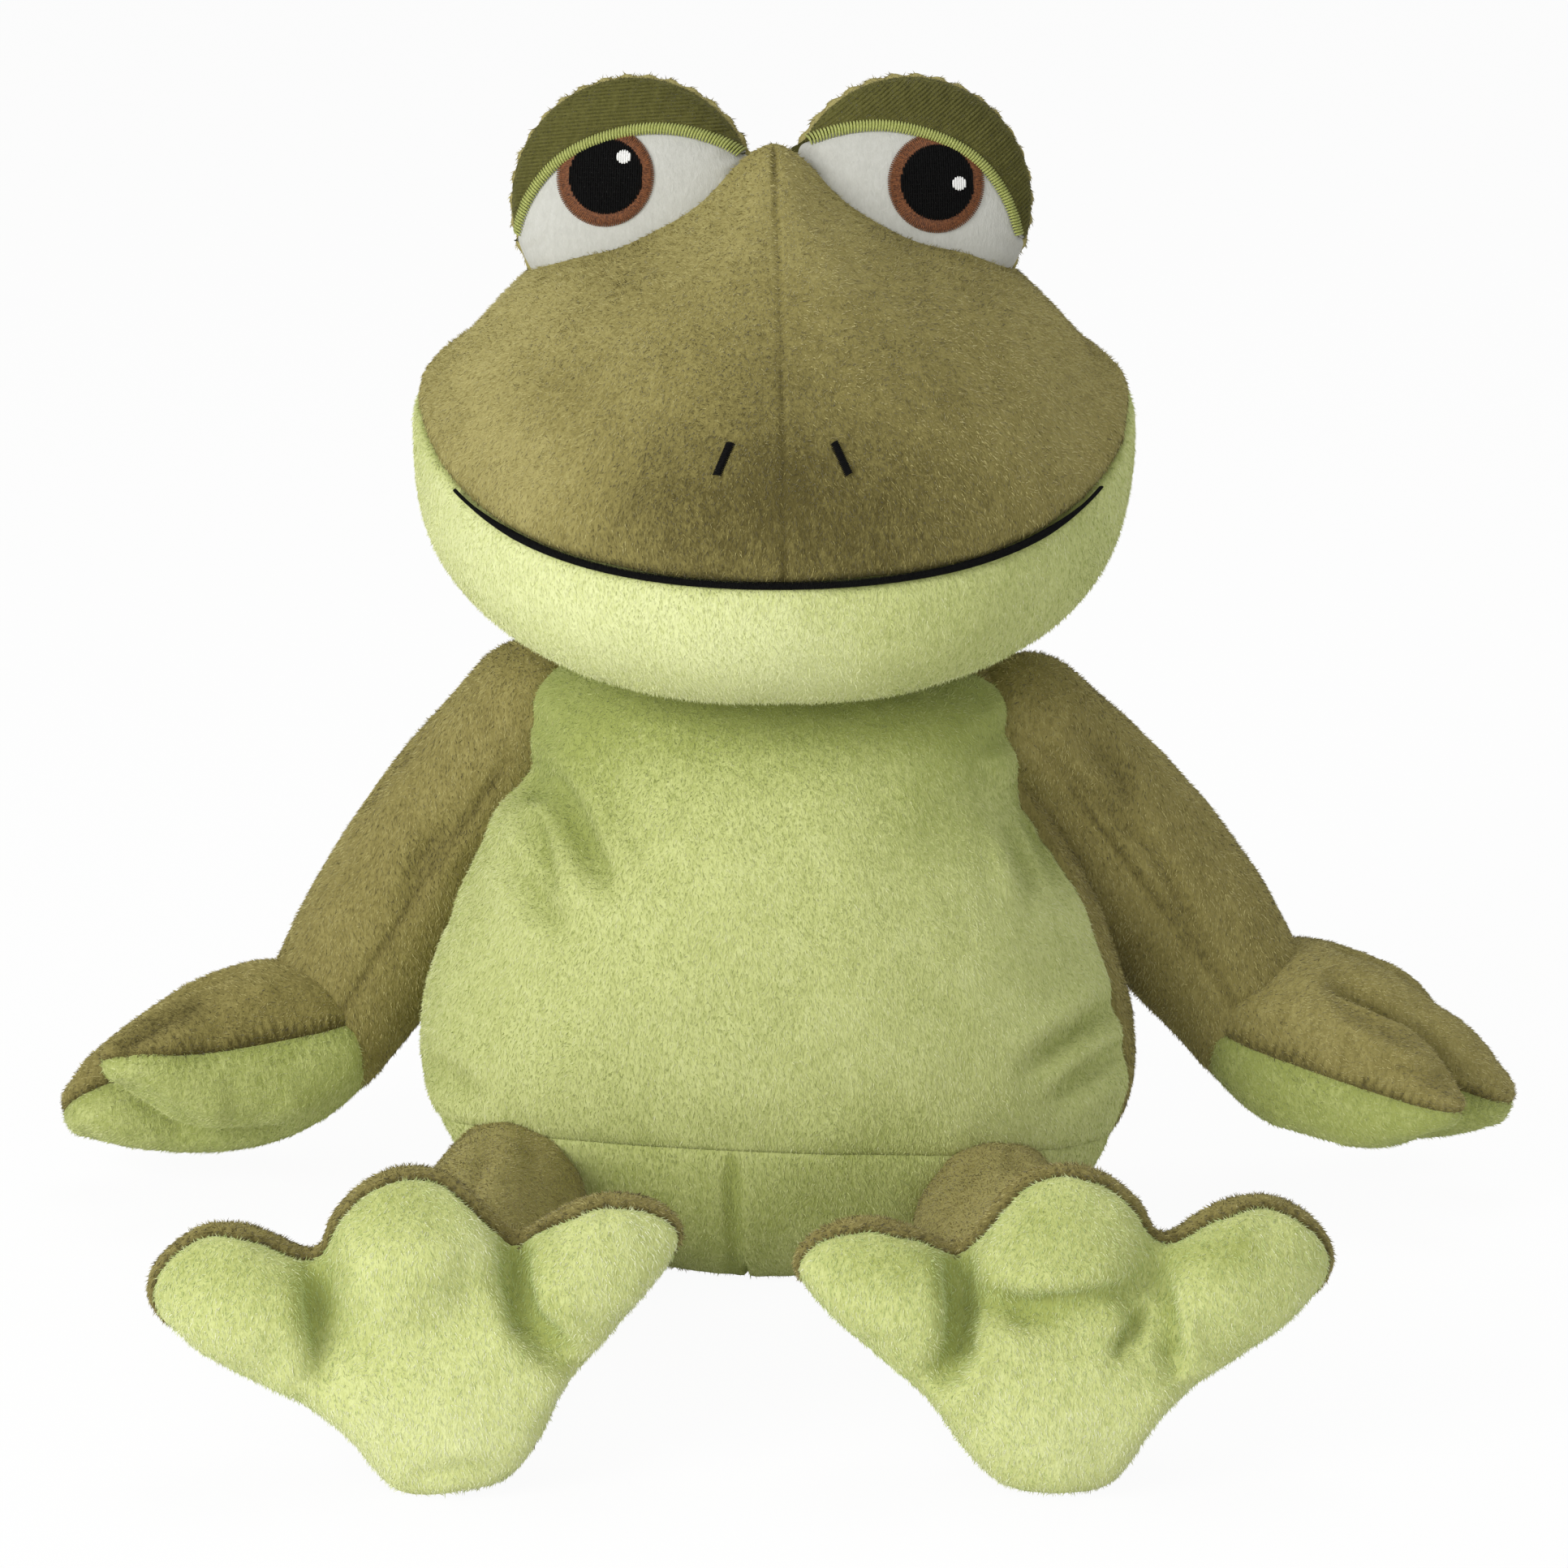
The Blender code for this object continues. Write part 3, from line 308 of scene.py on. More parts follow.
def round_angles(columns):
    """Even angles once round."""
    return np.arange(columns) * 2 * pi / columns


def new_piece(name, points, faces, edges=()):
    mesh = bpy.data.meshes.new(name)
    mesh.from_pydata([tuple(p) for p in points], edges, faces)
    mesh.update()
    return add_object(name, mesh)


def places_in(mesh):
    """The places of a mesh's points, one in each row."""
    places = np.empty(len(mesh.vertices) * 3)
    mesh.vertices.foreach_get("co", places)
    return places.reshape(-1, 3)


def places_of(piece):
    return places_in(piece.data)


def normals_of(piece):
    normals = np.empty(len(piece.data.vertices) * 3)
    piece.data.vertex_normals.foreach_get("vector", normals)
    return normals.reshape(-1, 3)


def set_places(piece, places):
    piece.data.vertices.foreach_set("co", np.asarray(places, dtype=np.float32).ravel())
    piece.data.update()


def rim_of(piece):
    """The numbers of the points on the open edge of a panel."""
    shell = bmesh.new()
    shell.from_mesh(piece.data)
    rim = sorted({v.index for edge in shell.edges if edge.is_boundary for v in edge.verts})
    shell.free()
    return rim


def above_floor(piece, gap):
    """Flattens a piece where it would go through the floor."""
    places = places_of(piece)
    places[:, 2] = np.maximum(places[:, 2], gap)
    set_places(piece, places)


cloth_slack = 0.01


def stuff(piece, held=None, pressure=2.0, most_moved=0.0012):
    """Blows a panel up like stuffing does, by a cloth simulation. Its rim is held, if no points are named."""
    held = rim_of(piece) if held is None else held
    group = piece.vertex_groups.new(name="held")
    group.add([int(k) for k in held], 1.0, "REPLACE")
    cloth = piece.modifiers.new("cloth", "CLOTH")
    cloth.settings.quality = 4
    cloth.settings.mass = 0.15
    cloth.settings.tension_stiffness = 12
    cloth.settings.compression_stiffness = 12
    cloth.settings.bending_stiffness = 0.15
    cloth.settings.vertex_group_mass = "held"
    cloth.settings.use_pressure = True
    cloth.settings.uniform_pressure_force = pressure
    cloth.settings.shrink_min = -cloth_slack
    cloth.settings.effector_weights.gravity = 0
    cloth.collision_settings.use_collision = False
    last_frame = 20
    cloth.point_cache.frame_start = 1
    cloth.point_cache.frame_end = last_frame
    before = places_of(piece)
    for number in range(1, last_frame + 1):
        bpy.context.scene.frame_set(number)
    settled = piece.evaluated_get(bpy.context.evaluated_depsgraph_get())
    moved = places_in(settled.data) - before
    moved[~np.isfinite(moved).all(axis=1)] = 0
    length = np.linalg.norm(moved, axis=1, keepdims=True)
    moved *= most_moved / (most_moved + length)
    piece.modifiers.clear()
    piece.vertex_groups.clear()
    bpy.context.scene.frame_set(1)
    set_places(piece, before + moved)


def apply_modifiers(piece):
    shown = piece.evaluated_get(bpy.context.evaluated_depsgraph_get())
    mesh = bpy.data.meshes.new_from_object(shown)
    piece.modifiers.clear()
    piece.data = mesh


def subdivide(piece, levels=1):
    """Smooths a panel with finer faces."""
    smooth = piece.modifiers.new("smooth", "SUBSURF")
    smooth.levels = levels
    smooth.render_levels = levels
    apply_modifiers(piece)


def far_from_line(spots, line):
    """The distance of each spot from a line of points, and how far along the line its nearest place is."""
    best = np.full(len(spots), np.inf)
    along = np.zeros(len(spots))
    for k in range(len(line) - 1):
        start, span = line[k], line[k + 1] - line[k]
        t = np.clip(((spots - start) @ span) / (span @ span), 0, 1)
        distance = np.linalg.norm(spots - (start + t[:, None] * span), axis=1)
        nearer = distance < best
        best[nearer] = distance[nearer]
        along[nearer] = ((k + t) / (len(line) - 1))[nearer]
    return best, along


seam_width = 0.0034
seam_depth = 0.0016


def sink_seams(piece, lines=(), width=seam_width, depth=seam_depth, rim=True):
    """Pulls a panel in along its rim and along sewn lines. The depth is kept, to paint shade into the plush
    and its pile there.
    """
    places, normals = places_of(piece), normals_of(piece)
    away = [far_from_line(places, np.array(line))[0] for line in lines]
    if rim:
        edge = rim_of(piece)
        tree = kdtree.KDTree(len(edge))
        for k in edge:
            tree.insert(places[k], k)
        tree.balance()
        away.append(np.array([tree.find(place)[2] for place in places]))
    sunk = np.clip(1 - np.min(away, axis=0) / width, 0, 1) ** 2
    set_places(piece, places - normals * (sunk * depth)[:, None])
    return sunk


def press_folds(piece, folds):
    """Presses folds into the side of a piece that faces the camera. A fold is a width and a depth in
    metres and the pixels it runs through. A raised roll lies beside it, and it fades out at its ends."""
    places, normals = places_of(piece), normals_of(piece)
    spots, scale = pixels_of(places)
    facing_gain, fading = 3, 0.6
    roll_share, roll_away = 0.35, 2.1
    facing = np.clip(normals @ np.array(towards_camera) * facing_gain, 0, 1)
    pressed = np.zeros(len(places))
    raised = np.zeros(len(places))
    for width, depth, line in folds:
        away, along = far_from_line(spots, np.array(line, dtype=float))
        away = away / scale / width
        strength = np.clip(np.sin(pi * np.clip(along, 0.02, 0.98)), 0, 1) ** fading * facing * depth
        pressed = np.maximum(pressed, strength * np.exp(-(away**2)))
        raised = np.maximum(raised, roll_share * strength * np.exp(-((away - roll_away) ** 2)))
    set_places(piece, places + normals * (raised - pressed)[:, None])
    return pressed


def paint_light_and_shade(piece, strokes):
    """Painted shade along strokes of positive strength, and painted light along strokes below zero. A stroke
    is a width in metres, a strength and its pixels.
    """
    spots, scale = pixels_of(places_of(piece))
    shade = np.zeros(len(spots))
    for width, strength, line in strokes:
        away, _ = far_from_line(spots, np.array(line, dtype=float))
        shade += strength * np.exp(-((away / scale / width) ** 2))
    return shade


def lump(piece, size, height):
    """Makes the stuffing under a panel slightly uneven."""
    clouds = bpy.data.textures.new("stuffing", "CLOUDS")
    clouds.noise_scale = size
    clouds.noise_depth = 1
    uneven = piece.modifiers.new("uneven", "DISPLACE")
    uneven.texture = clouds
    uneven.texture_coords = "LOCAL"
    uneven.strength = height
    shown = piece.evaluated_get(bpy.context.evaluated_depsgraph_get())
    places = places_in(shown.data)
    piece.modifiers.clear()
    set_places(piece, places)


# The name of the attribute that holds each point's painted shade, and below zero its painted light
painted_shading = "crease"


def keep_shade(piece, shade):
    """Keeps each point's painted shade, for the colour and for the pile: how deep it lies in a crease or
    seam, and the painted strokes. Below zero it is painted light.
    """
    attribute = piece.data.attributes.new(painted_shading, "FLOAT", "POINT")
    attribute.data.foreach_set("value", np.clip(shade, -1, 1).astype(np.float32))


def finish_panel(piece, inside):
    """Closes a panel behind, to a point inside the toy, and smooths it."""
    shell = bmesh.new()
    shell.from_mesh(piece.data)
    edges = [edge for edge in shell.edges if edge.is_boundary]
    if edges:
        middle = shell.verts.new(inside)
        for edge in edges:
            loop = edge.link_loops[0]
            shell.faces.new((loop.link_loop_next.vert, loop.vert, middle))
    shell.to_mesh(piece.data)
    shell.free()
    piece.data.shade_smooth()


def line_panel(piece, thickness=0.0008):
    """Gives a panel the thickness of its cloth, inwards, and closes it at its seam."""
    lining = piece.modifiers.new("lining", "SOLIDIFY")
    lining.thickness = thickness
    lining.offset = -1
    apply_modifiers(piece)
    piece.data.shade_smooth()


def set_inputs(piece, tree, values):
    """Adds a tree to a piece with its inputs set by name."""
    modifier = piece.modifiers.new(tree.name, "NODES")
    modifier.node_group = tree
    for item in tree.interface.items_tree:
        if item.item_type == "SOCKET" and item.in_out == "INPUT" and item.name in values:
            modifier[item.identifier] = values[item.name]


def new_tree(name, given):
    """A node tree with named inputs, and the wires that they give. Its geometry goes in and out first."""
    tree = bpy.data.node_groups.new(name, "GeometryNodeTree")
    for socket_name, kind in [("Geometry", "Geometry")] + given:
        tree.interface.new_socket(socket_name, in_out="INPUT", socket_type=f"NodeSocket{kind}")
    tree.interface.new_socket("Geometry", in_out="OUTPUT", socket_type="NodeSocketGeometry")
    inputs = tree.nodes.new("NodeGroupInput")
    return tree, Wire(tree), [Wire(tree, socket) for socket in inputs.outputs[: len(given) + 1]]


def end_tree(tree, geometry_wire):
    out = tree.nodes.new("NodeGroupOutput")
    tree.links.new(geometry_wire.socket, out.inputs[0])
    return tree


def noise(wire, place, scale, detail, output=0):
    return wire.node("ShaderNodeTexNoise", {}, {"Vector": place, "Scale": scale, "Detail": detail}, output)


def pile_tree():
    """The nodes that grow a short pile on a panel: thin blades that lie one way, pushed other ways here and
    there.
    """
    tree, wire, given = new_tree(
        "plush_pile",
        [("Density", "Float"), ("Length", "Float"), ("Root radius", "Float"), ("Lie", "Vector"),
         ("Lowest", "Float"), ("Dark", "Material"), ("Middle", "Material"), ("Light", "Material"),
         ("Seed", "Int")],
    )
    panel, density, length, root_radius, lie, lowest, dark, middle, light, seed = given

    def vectors(operation, first, second, output=0):
        return wire.node("ShaderNodeVectorMath", {"operation": operation}, {0: first, 1: second}, output)

    def scaled(vector, factor):
        return wire.node("ShaderNodeVectorMath", {"operation": "SCALE"}, {0: vector, "Scale": factor})

    def is_over(value, limit):
        return wire.node("FunctionNodeCompare", {"operation": "GREATER_THAN"}, {0: value, 1: limit})

    def random(least, most, seed):
        """A random share. Sockets 2 and 3 are its limits and socket 8 is its seed."""
        return wire.node("FunctionNodeRandomValue", {"data_type": "FLOAT"}, {2: least, 3: most, 8: seed}, 1)

    place = wire.node("GeometryNodeInputPosition", {}, {})
    height = wire.node("ShaderNodeSeparateXYZ", {}, {0: place}, "Z")
    roots = wire.node(
        "GeometryNodeDistributePointsOnFaces", {},
        {"Mesh": panel, "Selection": is_over(height, lowest), "Density": density, "Seed": seed},
    )
    outward = Wire(tree, roots.socket.node.outputs["Normal"])
    # The blades lie the way that two noises push them, less the noises' mean, and stand up a little
    brushed_ways = scaled(noise(wire, place, 60.0, 1.0, "Color"), 1.8)
    tufted_ways = scaled(noise(wire, place, 520.0, 0.0, "Color"), 2.2)
    noise_mean = (2.0, 2.0, 2.0)
    ways = vectors("SUBTRACT", vectors("ADD", brushed_ways, tufted_ways), noise_mean)
    wanted = vectors("ADD", lie, ways)
    flat = vectors("SUBTRACT", wanted, scaled(outward, vectors("DOT_PRODUCT", wanted, outward, "Value")))
    most_jitter = 0.35
    limits = {0: [-most_jitter] * 3, 1: [most_jitter] * 3}
    jitter = wire.node("FunctionNodeRandomValue", {"data_type": "FLOAT_VECTOR"}, limits)
    standing = 0.52
    direction = vectors("ADD", vectors("ADD", scaled(outward, standing), flat), jitter)
    turn = wire.node("FunctionNodeAlignRotationToVector", {"axis": "Z"}, {"Vector": direction})
    uneven = random(0.65, 1.25, 3)
    size = wire.node("ShaderNodeCombineXYZ", {}, {0: root_radius, 1: root_radius, 2: length * uneven})
    cone = {"Vertices": 3, "Radius Bottom": 1.0, "Radius Top": 0.0, "Depth": 1.0}
    blade = wire.node("GeometryNodeMeshCone", {}, cone)
    blades = wire.node(
        "GeometryNodeInstanceOnPoints", {},
        {"Points": roots, "Instance": blade, "Rotation": turn, "Scale": size},
    )
    chance = random(0.0, 1.0, 5)
    patches = noise(wire, place, 480.0, 2.0)
    wide_patches = noise(wire, place, 45.0, 1.0)
    # A blade's tone differs at random, and is painted darker where the attribute holds painted shade and
    # lighter where it holds painted light
    crease = wire.node("GeometryNodeInputNamedAttribute", {"data_type": "FLOAT"}, {"Name": painted_shading})
    shade = chance * 0.52 + patches * 0.66 + wide_patches * 0.44 - crease * 0.42 - 0.31
    kept = wire.node(
        "GeometryNodeStoreNamedAttribute", {"domain": "INSTANCE", "data_type": "FLOAT"},
        {"Geometry": blades, "Name": "shade", "Value": shade},
    )
    real = wire.node("GeometryNodeRealizeInstances", {}, {0: kept})
    shade = wire.node("GeometryNodeInputNamedAttribute", {"data_type": "FLOAT"}, {"Name": "shade"})
    dyed = wire.node("GeometryNodeSetMaterial", {}, {"Geometry": real, "Material": dark})
    for limit, material in ((0.33, middle), (0.66, light)):
        dyed = wire.node(
            "GeometryNodeSetMaterial", {},
            {"Geometry": dyed, "Selection": is_over(shade, limit), "Material": material},
        )
    return end_tree(tree, dyed)


plush_pile = pile_tree()


def blade_cloth(name, colour):
    """The plain colour of one blade of pile."""
    material, wire = new_material(name)
    surface(wire, {
        "Base Color": (*colour, 1), "Roughness": 0.9, "Specular IOR Level": 0.1,
        "Sheen Weight": 0.3, "Sheen Roughness": 0.5,
    })
    return material


def pile_cloths(name, dark, middle, light):
    return [blade_cloth(f"{name}_{tone}", colour) for tone, colour in
            (("dark", dark), ("middle", middle), ("light", light))]


def grow_pile(panel, cloths, slot, length=0.0011, root_radius=0.00013, density=1.3e6, lie=(0, 0, -1)):
    """The pile of a panel that isn't closed yet, as a piece of its own."""
    pile = add_object(f"{panel.name}_pile", panel.data.copy())
    lowest_root = 0.0016
    values = {
        "Density": density, "Length": length, "Root radius": root_radius, "Lie": lie, "Lowest": lowest_root,
        "Dark": cloths[0], "Middle": cloths[1], "Light": cloths[2], "Seed": len(bpy.data.objects),
    }
    set_inputs(pile, plush_pile, values)
    apply_modifiers(pile)
    pile.data.name = pile.name
    for attribute_name in (painted_shading, "shade"):
        if attribute_name in pile.data.attributes:
            pile.data.attributes.remove(pile.data.attributes[attribute_name])
    return pile


green_pile = pile_cloths("green_pile", (0.405, 0.455, 0.150), (0.560, 0.595, 0.262), (0.680, 0.705, 0.390))
sole_pile = pile_cloths("sole_pile", (0.470, 0.550, 0.215), (0.610, 0.655, 0.350), (0.710, 0.730, 0.490))
olive_pile = pile_cloths("olive_pile", (0.120, 0.100, 0.033), (0.280, 0.240, 0.082), (0.450, 0.400, 0.165))
lid_pile = pile_cloths("lid_pile", (0.060, 0.056, 0.015), (0.110, 0.103, 0.030), (0.170, 0.158, 0.052))


def plush(name, deep, middle, tip, pile=0.00075):
    """The plush's ground, which shows between the blades of its pile. Its tufts are stretched downwards."""
    material, wire = new_material(name)
    place = wire.node("ShaderNodeTexCoord", {}, {}, "Object")
    stretch = (1, 1, 2.4)
    lying = wire.node("ShaderNodeMapping", {"vector_type": "TEXTURE"}, {"Vector": place, "Scale": stretch})
    wide_patches = noise(wire, place, 62.0, 2.0)
    patches = noise(wire, lying, 260.0, 2.0)
    tufts = wire.node(
        "ShaderNodeTexNoise", {}, {"Vector": lying, "Scale": 1150.0, "Detail": 2.0, "Distortion": 0.6}
    )
    fibres = noise(wire, lying, 3600.0, 1.0)
    # The ground is painted darker where the attribute holds painted shade and lighter where it holds painted
    # light
    crease = wire.node("ShaderNodeAttribute", {"attribute_name": painted_shading}, {}, "Fac")
    tone = tufts * 0.50 + fibres * 0.30 + patches * 0.20 + wide_patches * 0.15 - 0.10 - crease * 0.32
    colour = wire.node(
        "ShaderNodeValToRGB", {"stops": [(0.18, deep), (0.50, middle), (0.82, tip)]}, {"Fac": tone}, "Color"
    )
    height = tufts * 0.7 + fibres * 0.3
    bump = wire.node("ShaderNodeBump", {}, {"Height": height, "Distance": pile, "Strength": 0.75})
    surface(wire, {
        "Base Color": colour, "Normal": bump, "Roughness": 0.95, "Specular IOR Level": 0.15,
        "Sheen Weight": 0.6, "Sheen Roughness": 0.4, "Sheen Tint": (*tip, 1),
    })
    return material


def dress(piece, material, slot, node):
    """Gives a stuffed piece its plush and hides the solid that it stands for."""
    piece.data.materials.clear()
    piece.data.materials.append(material)
    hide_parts(node)


green_plush = plush("green_plush", (0.330, 0.370, 0.105), (0.550, 0.590, 0.240), (0.710, 0.745, 0.390))
olive_plush = plush("olive_plush", (0.095, 0.078, 0.023), (0.245, 0.210, 0.069), (0.390, 0.345, 0.135))

torso_frame = Matrix.Rotation(torso_turn, 4, "Z")
turn_torso = np.array(torso_frame.to_3x3())


def torso_ring(at, start, end, count):
    """Part of the torso's ring at a place up the form, in the torso's own frame, and its angles."""
    height, width, front, back = table_at(torso_shares, at)
    angles = np.linspace(start, end, count)
    depth = np.where(np.sin(angles) > 0, torso_back * back, torso_front * front)
    x = torso_half_width * width * power(np.cos(angles), 2 / torso_fullness)
    y = depth * power(np.sin(angles), 2 / torso_fullness)
    return np.stack([x, y, np.full(count, torso_height * height)], 1), angles


def torso_arc(at, start, end, count):
    """Points evenly along part of the torso's ring."""
    fine_steps = 400
    return spaced(torso_ring(at, start, end, fine_steps)[0], count)


def side_seam_angles(at):
    """The angles at which a ring crosses the side seams' plane, on the frog's left and on its right."""
    fine_steps = 600
    found = []
    for middle, towards in ((0, 1), (pi, -1)):
        ring, angles = torso_ring(at, middle - pi / 2, middle + pi / 2, fine_steps)
        behind = (ring[:, 1] - side_seam_back - ring[:, 0] * np.tan(side_seam_turn)) * towards
        found.append(np.interp(0, behind, angles))
    return found


belly_form, back_form = [], []
for at in np.linspace(0, 1, torso_heights):
    left_seam, right_seam = side_seam_angles(at)
    belly_form.append(torso_arc(at, right_seam, 2 * pi + left_seam, belly_columns))
    back_form.append(torso_arc(at, left_seam, right_seam, back_columns))
belly_form, back_form = np.array(belly_form), np.array(back_form)


def along_column(column, above, rows):
    """Points up one column of the torso, from the seat seam to the top or from the seam down to the floor."""
    over_seam = column[:, 2] - (seat_seam_height - seat_seam_slope * column[:, 1])
    crossing = np.interp(0, over_seam, np.arange(len(column)))
    stations = np.linspace(crossing, len(column) - 1 if above else 0, 200)
    line = np.stack([np.interp(stations, np.arange(len(column)), column[:, k]) for k in range(3)], 1)
    return spaced(line, rows)


def torso_panel(form, above, rows):
    return np.stack([along_column(form[:, c], above, rows) for c in range(form.shape[1])], 1)


belly_grid = torso_panel(belly_form, True, torso_rows)
back_grid = torso_panel(back_form, True, torso_rows)
seat_halves = [torso_panel(form, False, seat_rows)[:, :-1] for form in (belly_form, back_form)]
seat_grid = np.concatenate(seat_halves, axis=1)
underside = [seat_grid[-1] * [share, share, 1] for share in np.linspace(1, 0, underside_rows + 1)[1:-1]]
seat_grid = np.concatenate([seat_grid, underside])

# Folds that the arms and the sitting legs press into the front: width, depth, and pixels
belly_folds = [
    (0.0034, 0.0050, [(646, 945), (677, 968), (701, 1009), (724, 1056), (752, 1098)]),
    (0.0030, 0.0040, [(640, 985), (660, 1021), (671, 1070), (678, 1110)]),
    (0.0030, 0.0032, [(618, 1040), (645, 1078), (668, 1118), (700, 1150)]),
    (0.0060, 0.0045, [(628, 930), (648, 962), (672, 985)]),
    (0.0060, 0.0045, [(1300, 950), (1284, 979), (1262, 1000)]),
    (0.0032, 0.0042, [(1262, 985), (1285, 1022), (1315, 1095)]),
    (0.0030, 0.0034, [(1240, 1005), (1262, 1052), (1280, 1105)]),
    (0.0030, 0.0034, [(1385, 1230), (1330, 1272), (1262, 1322)]),
    (0.0030, 0.0028, [(1392, 1285), (1345, 1318), (1295, 1355)]),
    (0.0034, 0.0020, [(522, 1300), (548, 1330), (590, 1352)]),
    (0.0026, 0.0014, [(640, 870), (672, 905), (700, 925)]),
    (0.0026, 0.0014, [(1262, 880), (1232, 912), (1205, 930)]),
    (0.0017, 0.0013, [(901, 1430), (903, 1500), (905, 1575)]),
]
# Painted shade on the front: under the chin, in both armpits, where the belly turns under, and along the
# seat's middle seam. A stroke is a width in metres, a strength and its pixels
belly_strokes = [
    (0.017, 1.00, [(700, 850), (830, 862), (1010, 862), (1180, 850)]),
    (0.011, 0.55, [(700, 900), (712, 960), (735, 1010)]),
    (0.012, 0.45, [(1190, 900), (1175, 960), (1150, 1020)]),
    (0.016, 0.60, [(780, 1450), (900, 1510), (1060, 1460)]),
    (0.0014, 1.20, [(901, 1428), (903, 1500), (905, 1575)]),
]
torso_inside = Vector((0, 0, 0.07))

belly_faces = grid_faces(torso_rows, belly_columns, False)
back_faces = grid_faces(torso_rows, back_columns, False)
belly = new_piece("belly_panel", belly_grid.reshape(-1, 3) @ turn_torso.T, belly_faces)
back = new_piece("back_panel", back_grid.reshape(-1, 3) @ turn_torso.T, back_faces)
seat_points = seat_grid.reshape(-1, 3) @ turn_torso.T
seat_columns = seat_grid.shape[1]
seat_faces = [face[::-1] for face in grid_faces(len(seat_grid), seat_columns, True)]
last_ring = list(range(len(seat_points) - seat_columns, len(seat_points)))
seat_points, seat_faces = capped(seat_points, seat_faces, last_ring, (0, 0, 0), True)
seat = new_piece("seat_panel", seat_points, seat_faces)
on_floor = 1e-5
floor_points = np.where(seat_points[:, 2] < on_floor)[0]
for panel in (belly, back):
    stuff(panel, pressure=3.0, most_moved=0.0020)
stuff(seat, sorted(set(rim_of(seat)) | set(floor_points)), pressure=1.5, most_moved=0.0015)
seat_middle_seam = [
    torso_frame @ Vector((0, -torso_front * 1.01, seat_seam_height + seat_seam_slope * torso_front)),
    torso_frame @ Vector((0, -torso_front * 0.99, 0.020)),
    torso_frame @ Vector((0, -torso_front * 0.90, 0.008)),
    torso_frame @ Vector((0, -torso_front * 0.72, 0)),
    torso_frame @ Vector((0, 0, 0)),
]
for panel, material, slot, node in (
    (belly, green_plush, "green_plush", "torso_belly"),
    (back, olive_plush, "olive_plush", "torso_back"),
    (seat, green_plush, "green_plush", "torso_seat"),
):
    subdivide(panel)
    # Painted shade along the seams, the seat's middle seam and the folds, and the front's painted strokes
    shade = sink_seams(panel, depth=0.0001 if panel is seat else 0.0003) * 0.10
    if panel is seat:
        middle_shade = sink_seams(panel, [seat_middle_seam], width=0.0016, depth=0.0024, rim=False)
        shade = np.maximum(shade, middle_shade)
    if panel is not back:
        shade = np.maximum(shade, press_folds(panel, belly_folds) / 0.006) + paint_light_and_shade(panel, belly_strokes)
    lump(panel, size=0.020, height=0.0016)
    if panel is seat:
        above_floor(panel, gap=0.0002)
    keep_shade(panel, shade)
    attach(grow_pile(panel, olive_pile if panel is back else green_pile, slot), "torso")
    finish_panel(panel, torso_inside)
    dress(panel, material, slot, node)
    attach(panel, "torso")


# The pellet bag lies in the seat, out of sight: a round woven bag that makes the frog sit upright.
bag_half_sizes = (0.039, 0.031, 0.0145)
bag_height = 0.023
bag_back = 0.010


def ball_piece(name, columns, rows, half_sizes, centre):
    """A closed round piece with a tip at its top and at its bottom."""
    angles = round_angles(columns)
    rings = []
    for rise in np.linspace(-pi / 2, pi / 2, rows + 2)[1:-1]:
        across, back = cos(rise) * np.cos(angles), cos(rise) * np.sin(angles)
        rings.append(np.stack([across, back, np.full(columns, sin(rise))], 1))
    points = np.concatenate(rings)
    faces = grid_faces(rows, columns, True)
    points, faces = capped(points, faces, list(range(columns)), (0, 0, -1), True)
    points, faces = capped(points, faces, list(range((rows - 1) * columns, rows * columns)), (0, 0, 1), False)
    return new_piece(name, points * np.array(half_sizes) + np.array(centre), faces)


bag = ball_piece("pellet_bag_cloth", 72, 30, bag_half_sizes, torso_frame @ Vector((0, bag_back, bag_height)))
lump(bag, size=0.006, height=0.0012)
finish_panel(bag, (0, 0, 0))
bag_material, wire = new_material("bag_cloth")
place = wire.node("ShaderNodeTexCoord", {}, {}, "Object")
squares = {"Vector": place, "Scale": 1400.0}
weave = wire.node("ShaderNodeTexVoronoi", {"distance": "CHEBYCHEV"}, squares, "Distance")
stops = [(0.0, (0.64, 0.63, 0.59)), (0.6, (0.42, 0.41, 0.37))]
colour = wire.node("ShaderNodeValToRGB", {"stops": stops}, {"Fac": weave}, "Color")
bump = wire.node("ShaderNodeBump", {}, {"Height": 1 - weave, "Distance": 0.0003, "Strength": 0.8})
surface(wire, {"Base Color": colour, "Normal": bump, "Roughness": 0.9})
dress(bag, bag_material, "bag_cloth", "pellet_bag")
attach(bag, "torso")


# The neck is a short stuffed plug of olive plush, sewn into the torso's top, that the head turns and nods on.
neck_radius = 0.022
neck_centre = torso_frame @ Vector((0, -0.004, torso_height + 0.001))
neck_share = 0.99  # of the radius, because the stuffing makes it uneven
neck = ball_piece("neck_plug", 72, 34, [neck_radius * neck_share] * 3, neck_centre)
lump(neck, size=0.012, height=0.0008)
finish_panel(neck, (0, 0, 0))
dress(neck, olive_plush, "olive_plush", "neck")
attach(neck, "neck")


# The head: two olive face panels with a seam down the middle of the face, over a pale green jaw.
# The panels are sewn together all round along the mouth, which falls towards the front, and stuffed firmly.
head_half_width = 0.0865
head_front = 0.090
head_back = 0.058
head_top = 0.0705
jaw_depth = 0.0474
head_above_torso = 0.056
head_shift = -0.0010
head_turn = radians(1.5)
mouth_slope = 0.2
cheek_rise = 0.0095
cheek_fade = 4
head_fullness = 2.1
jaw_fullness = 2.7
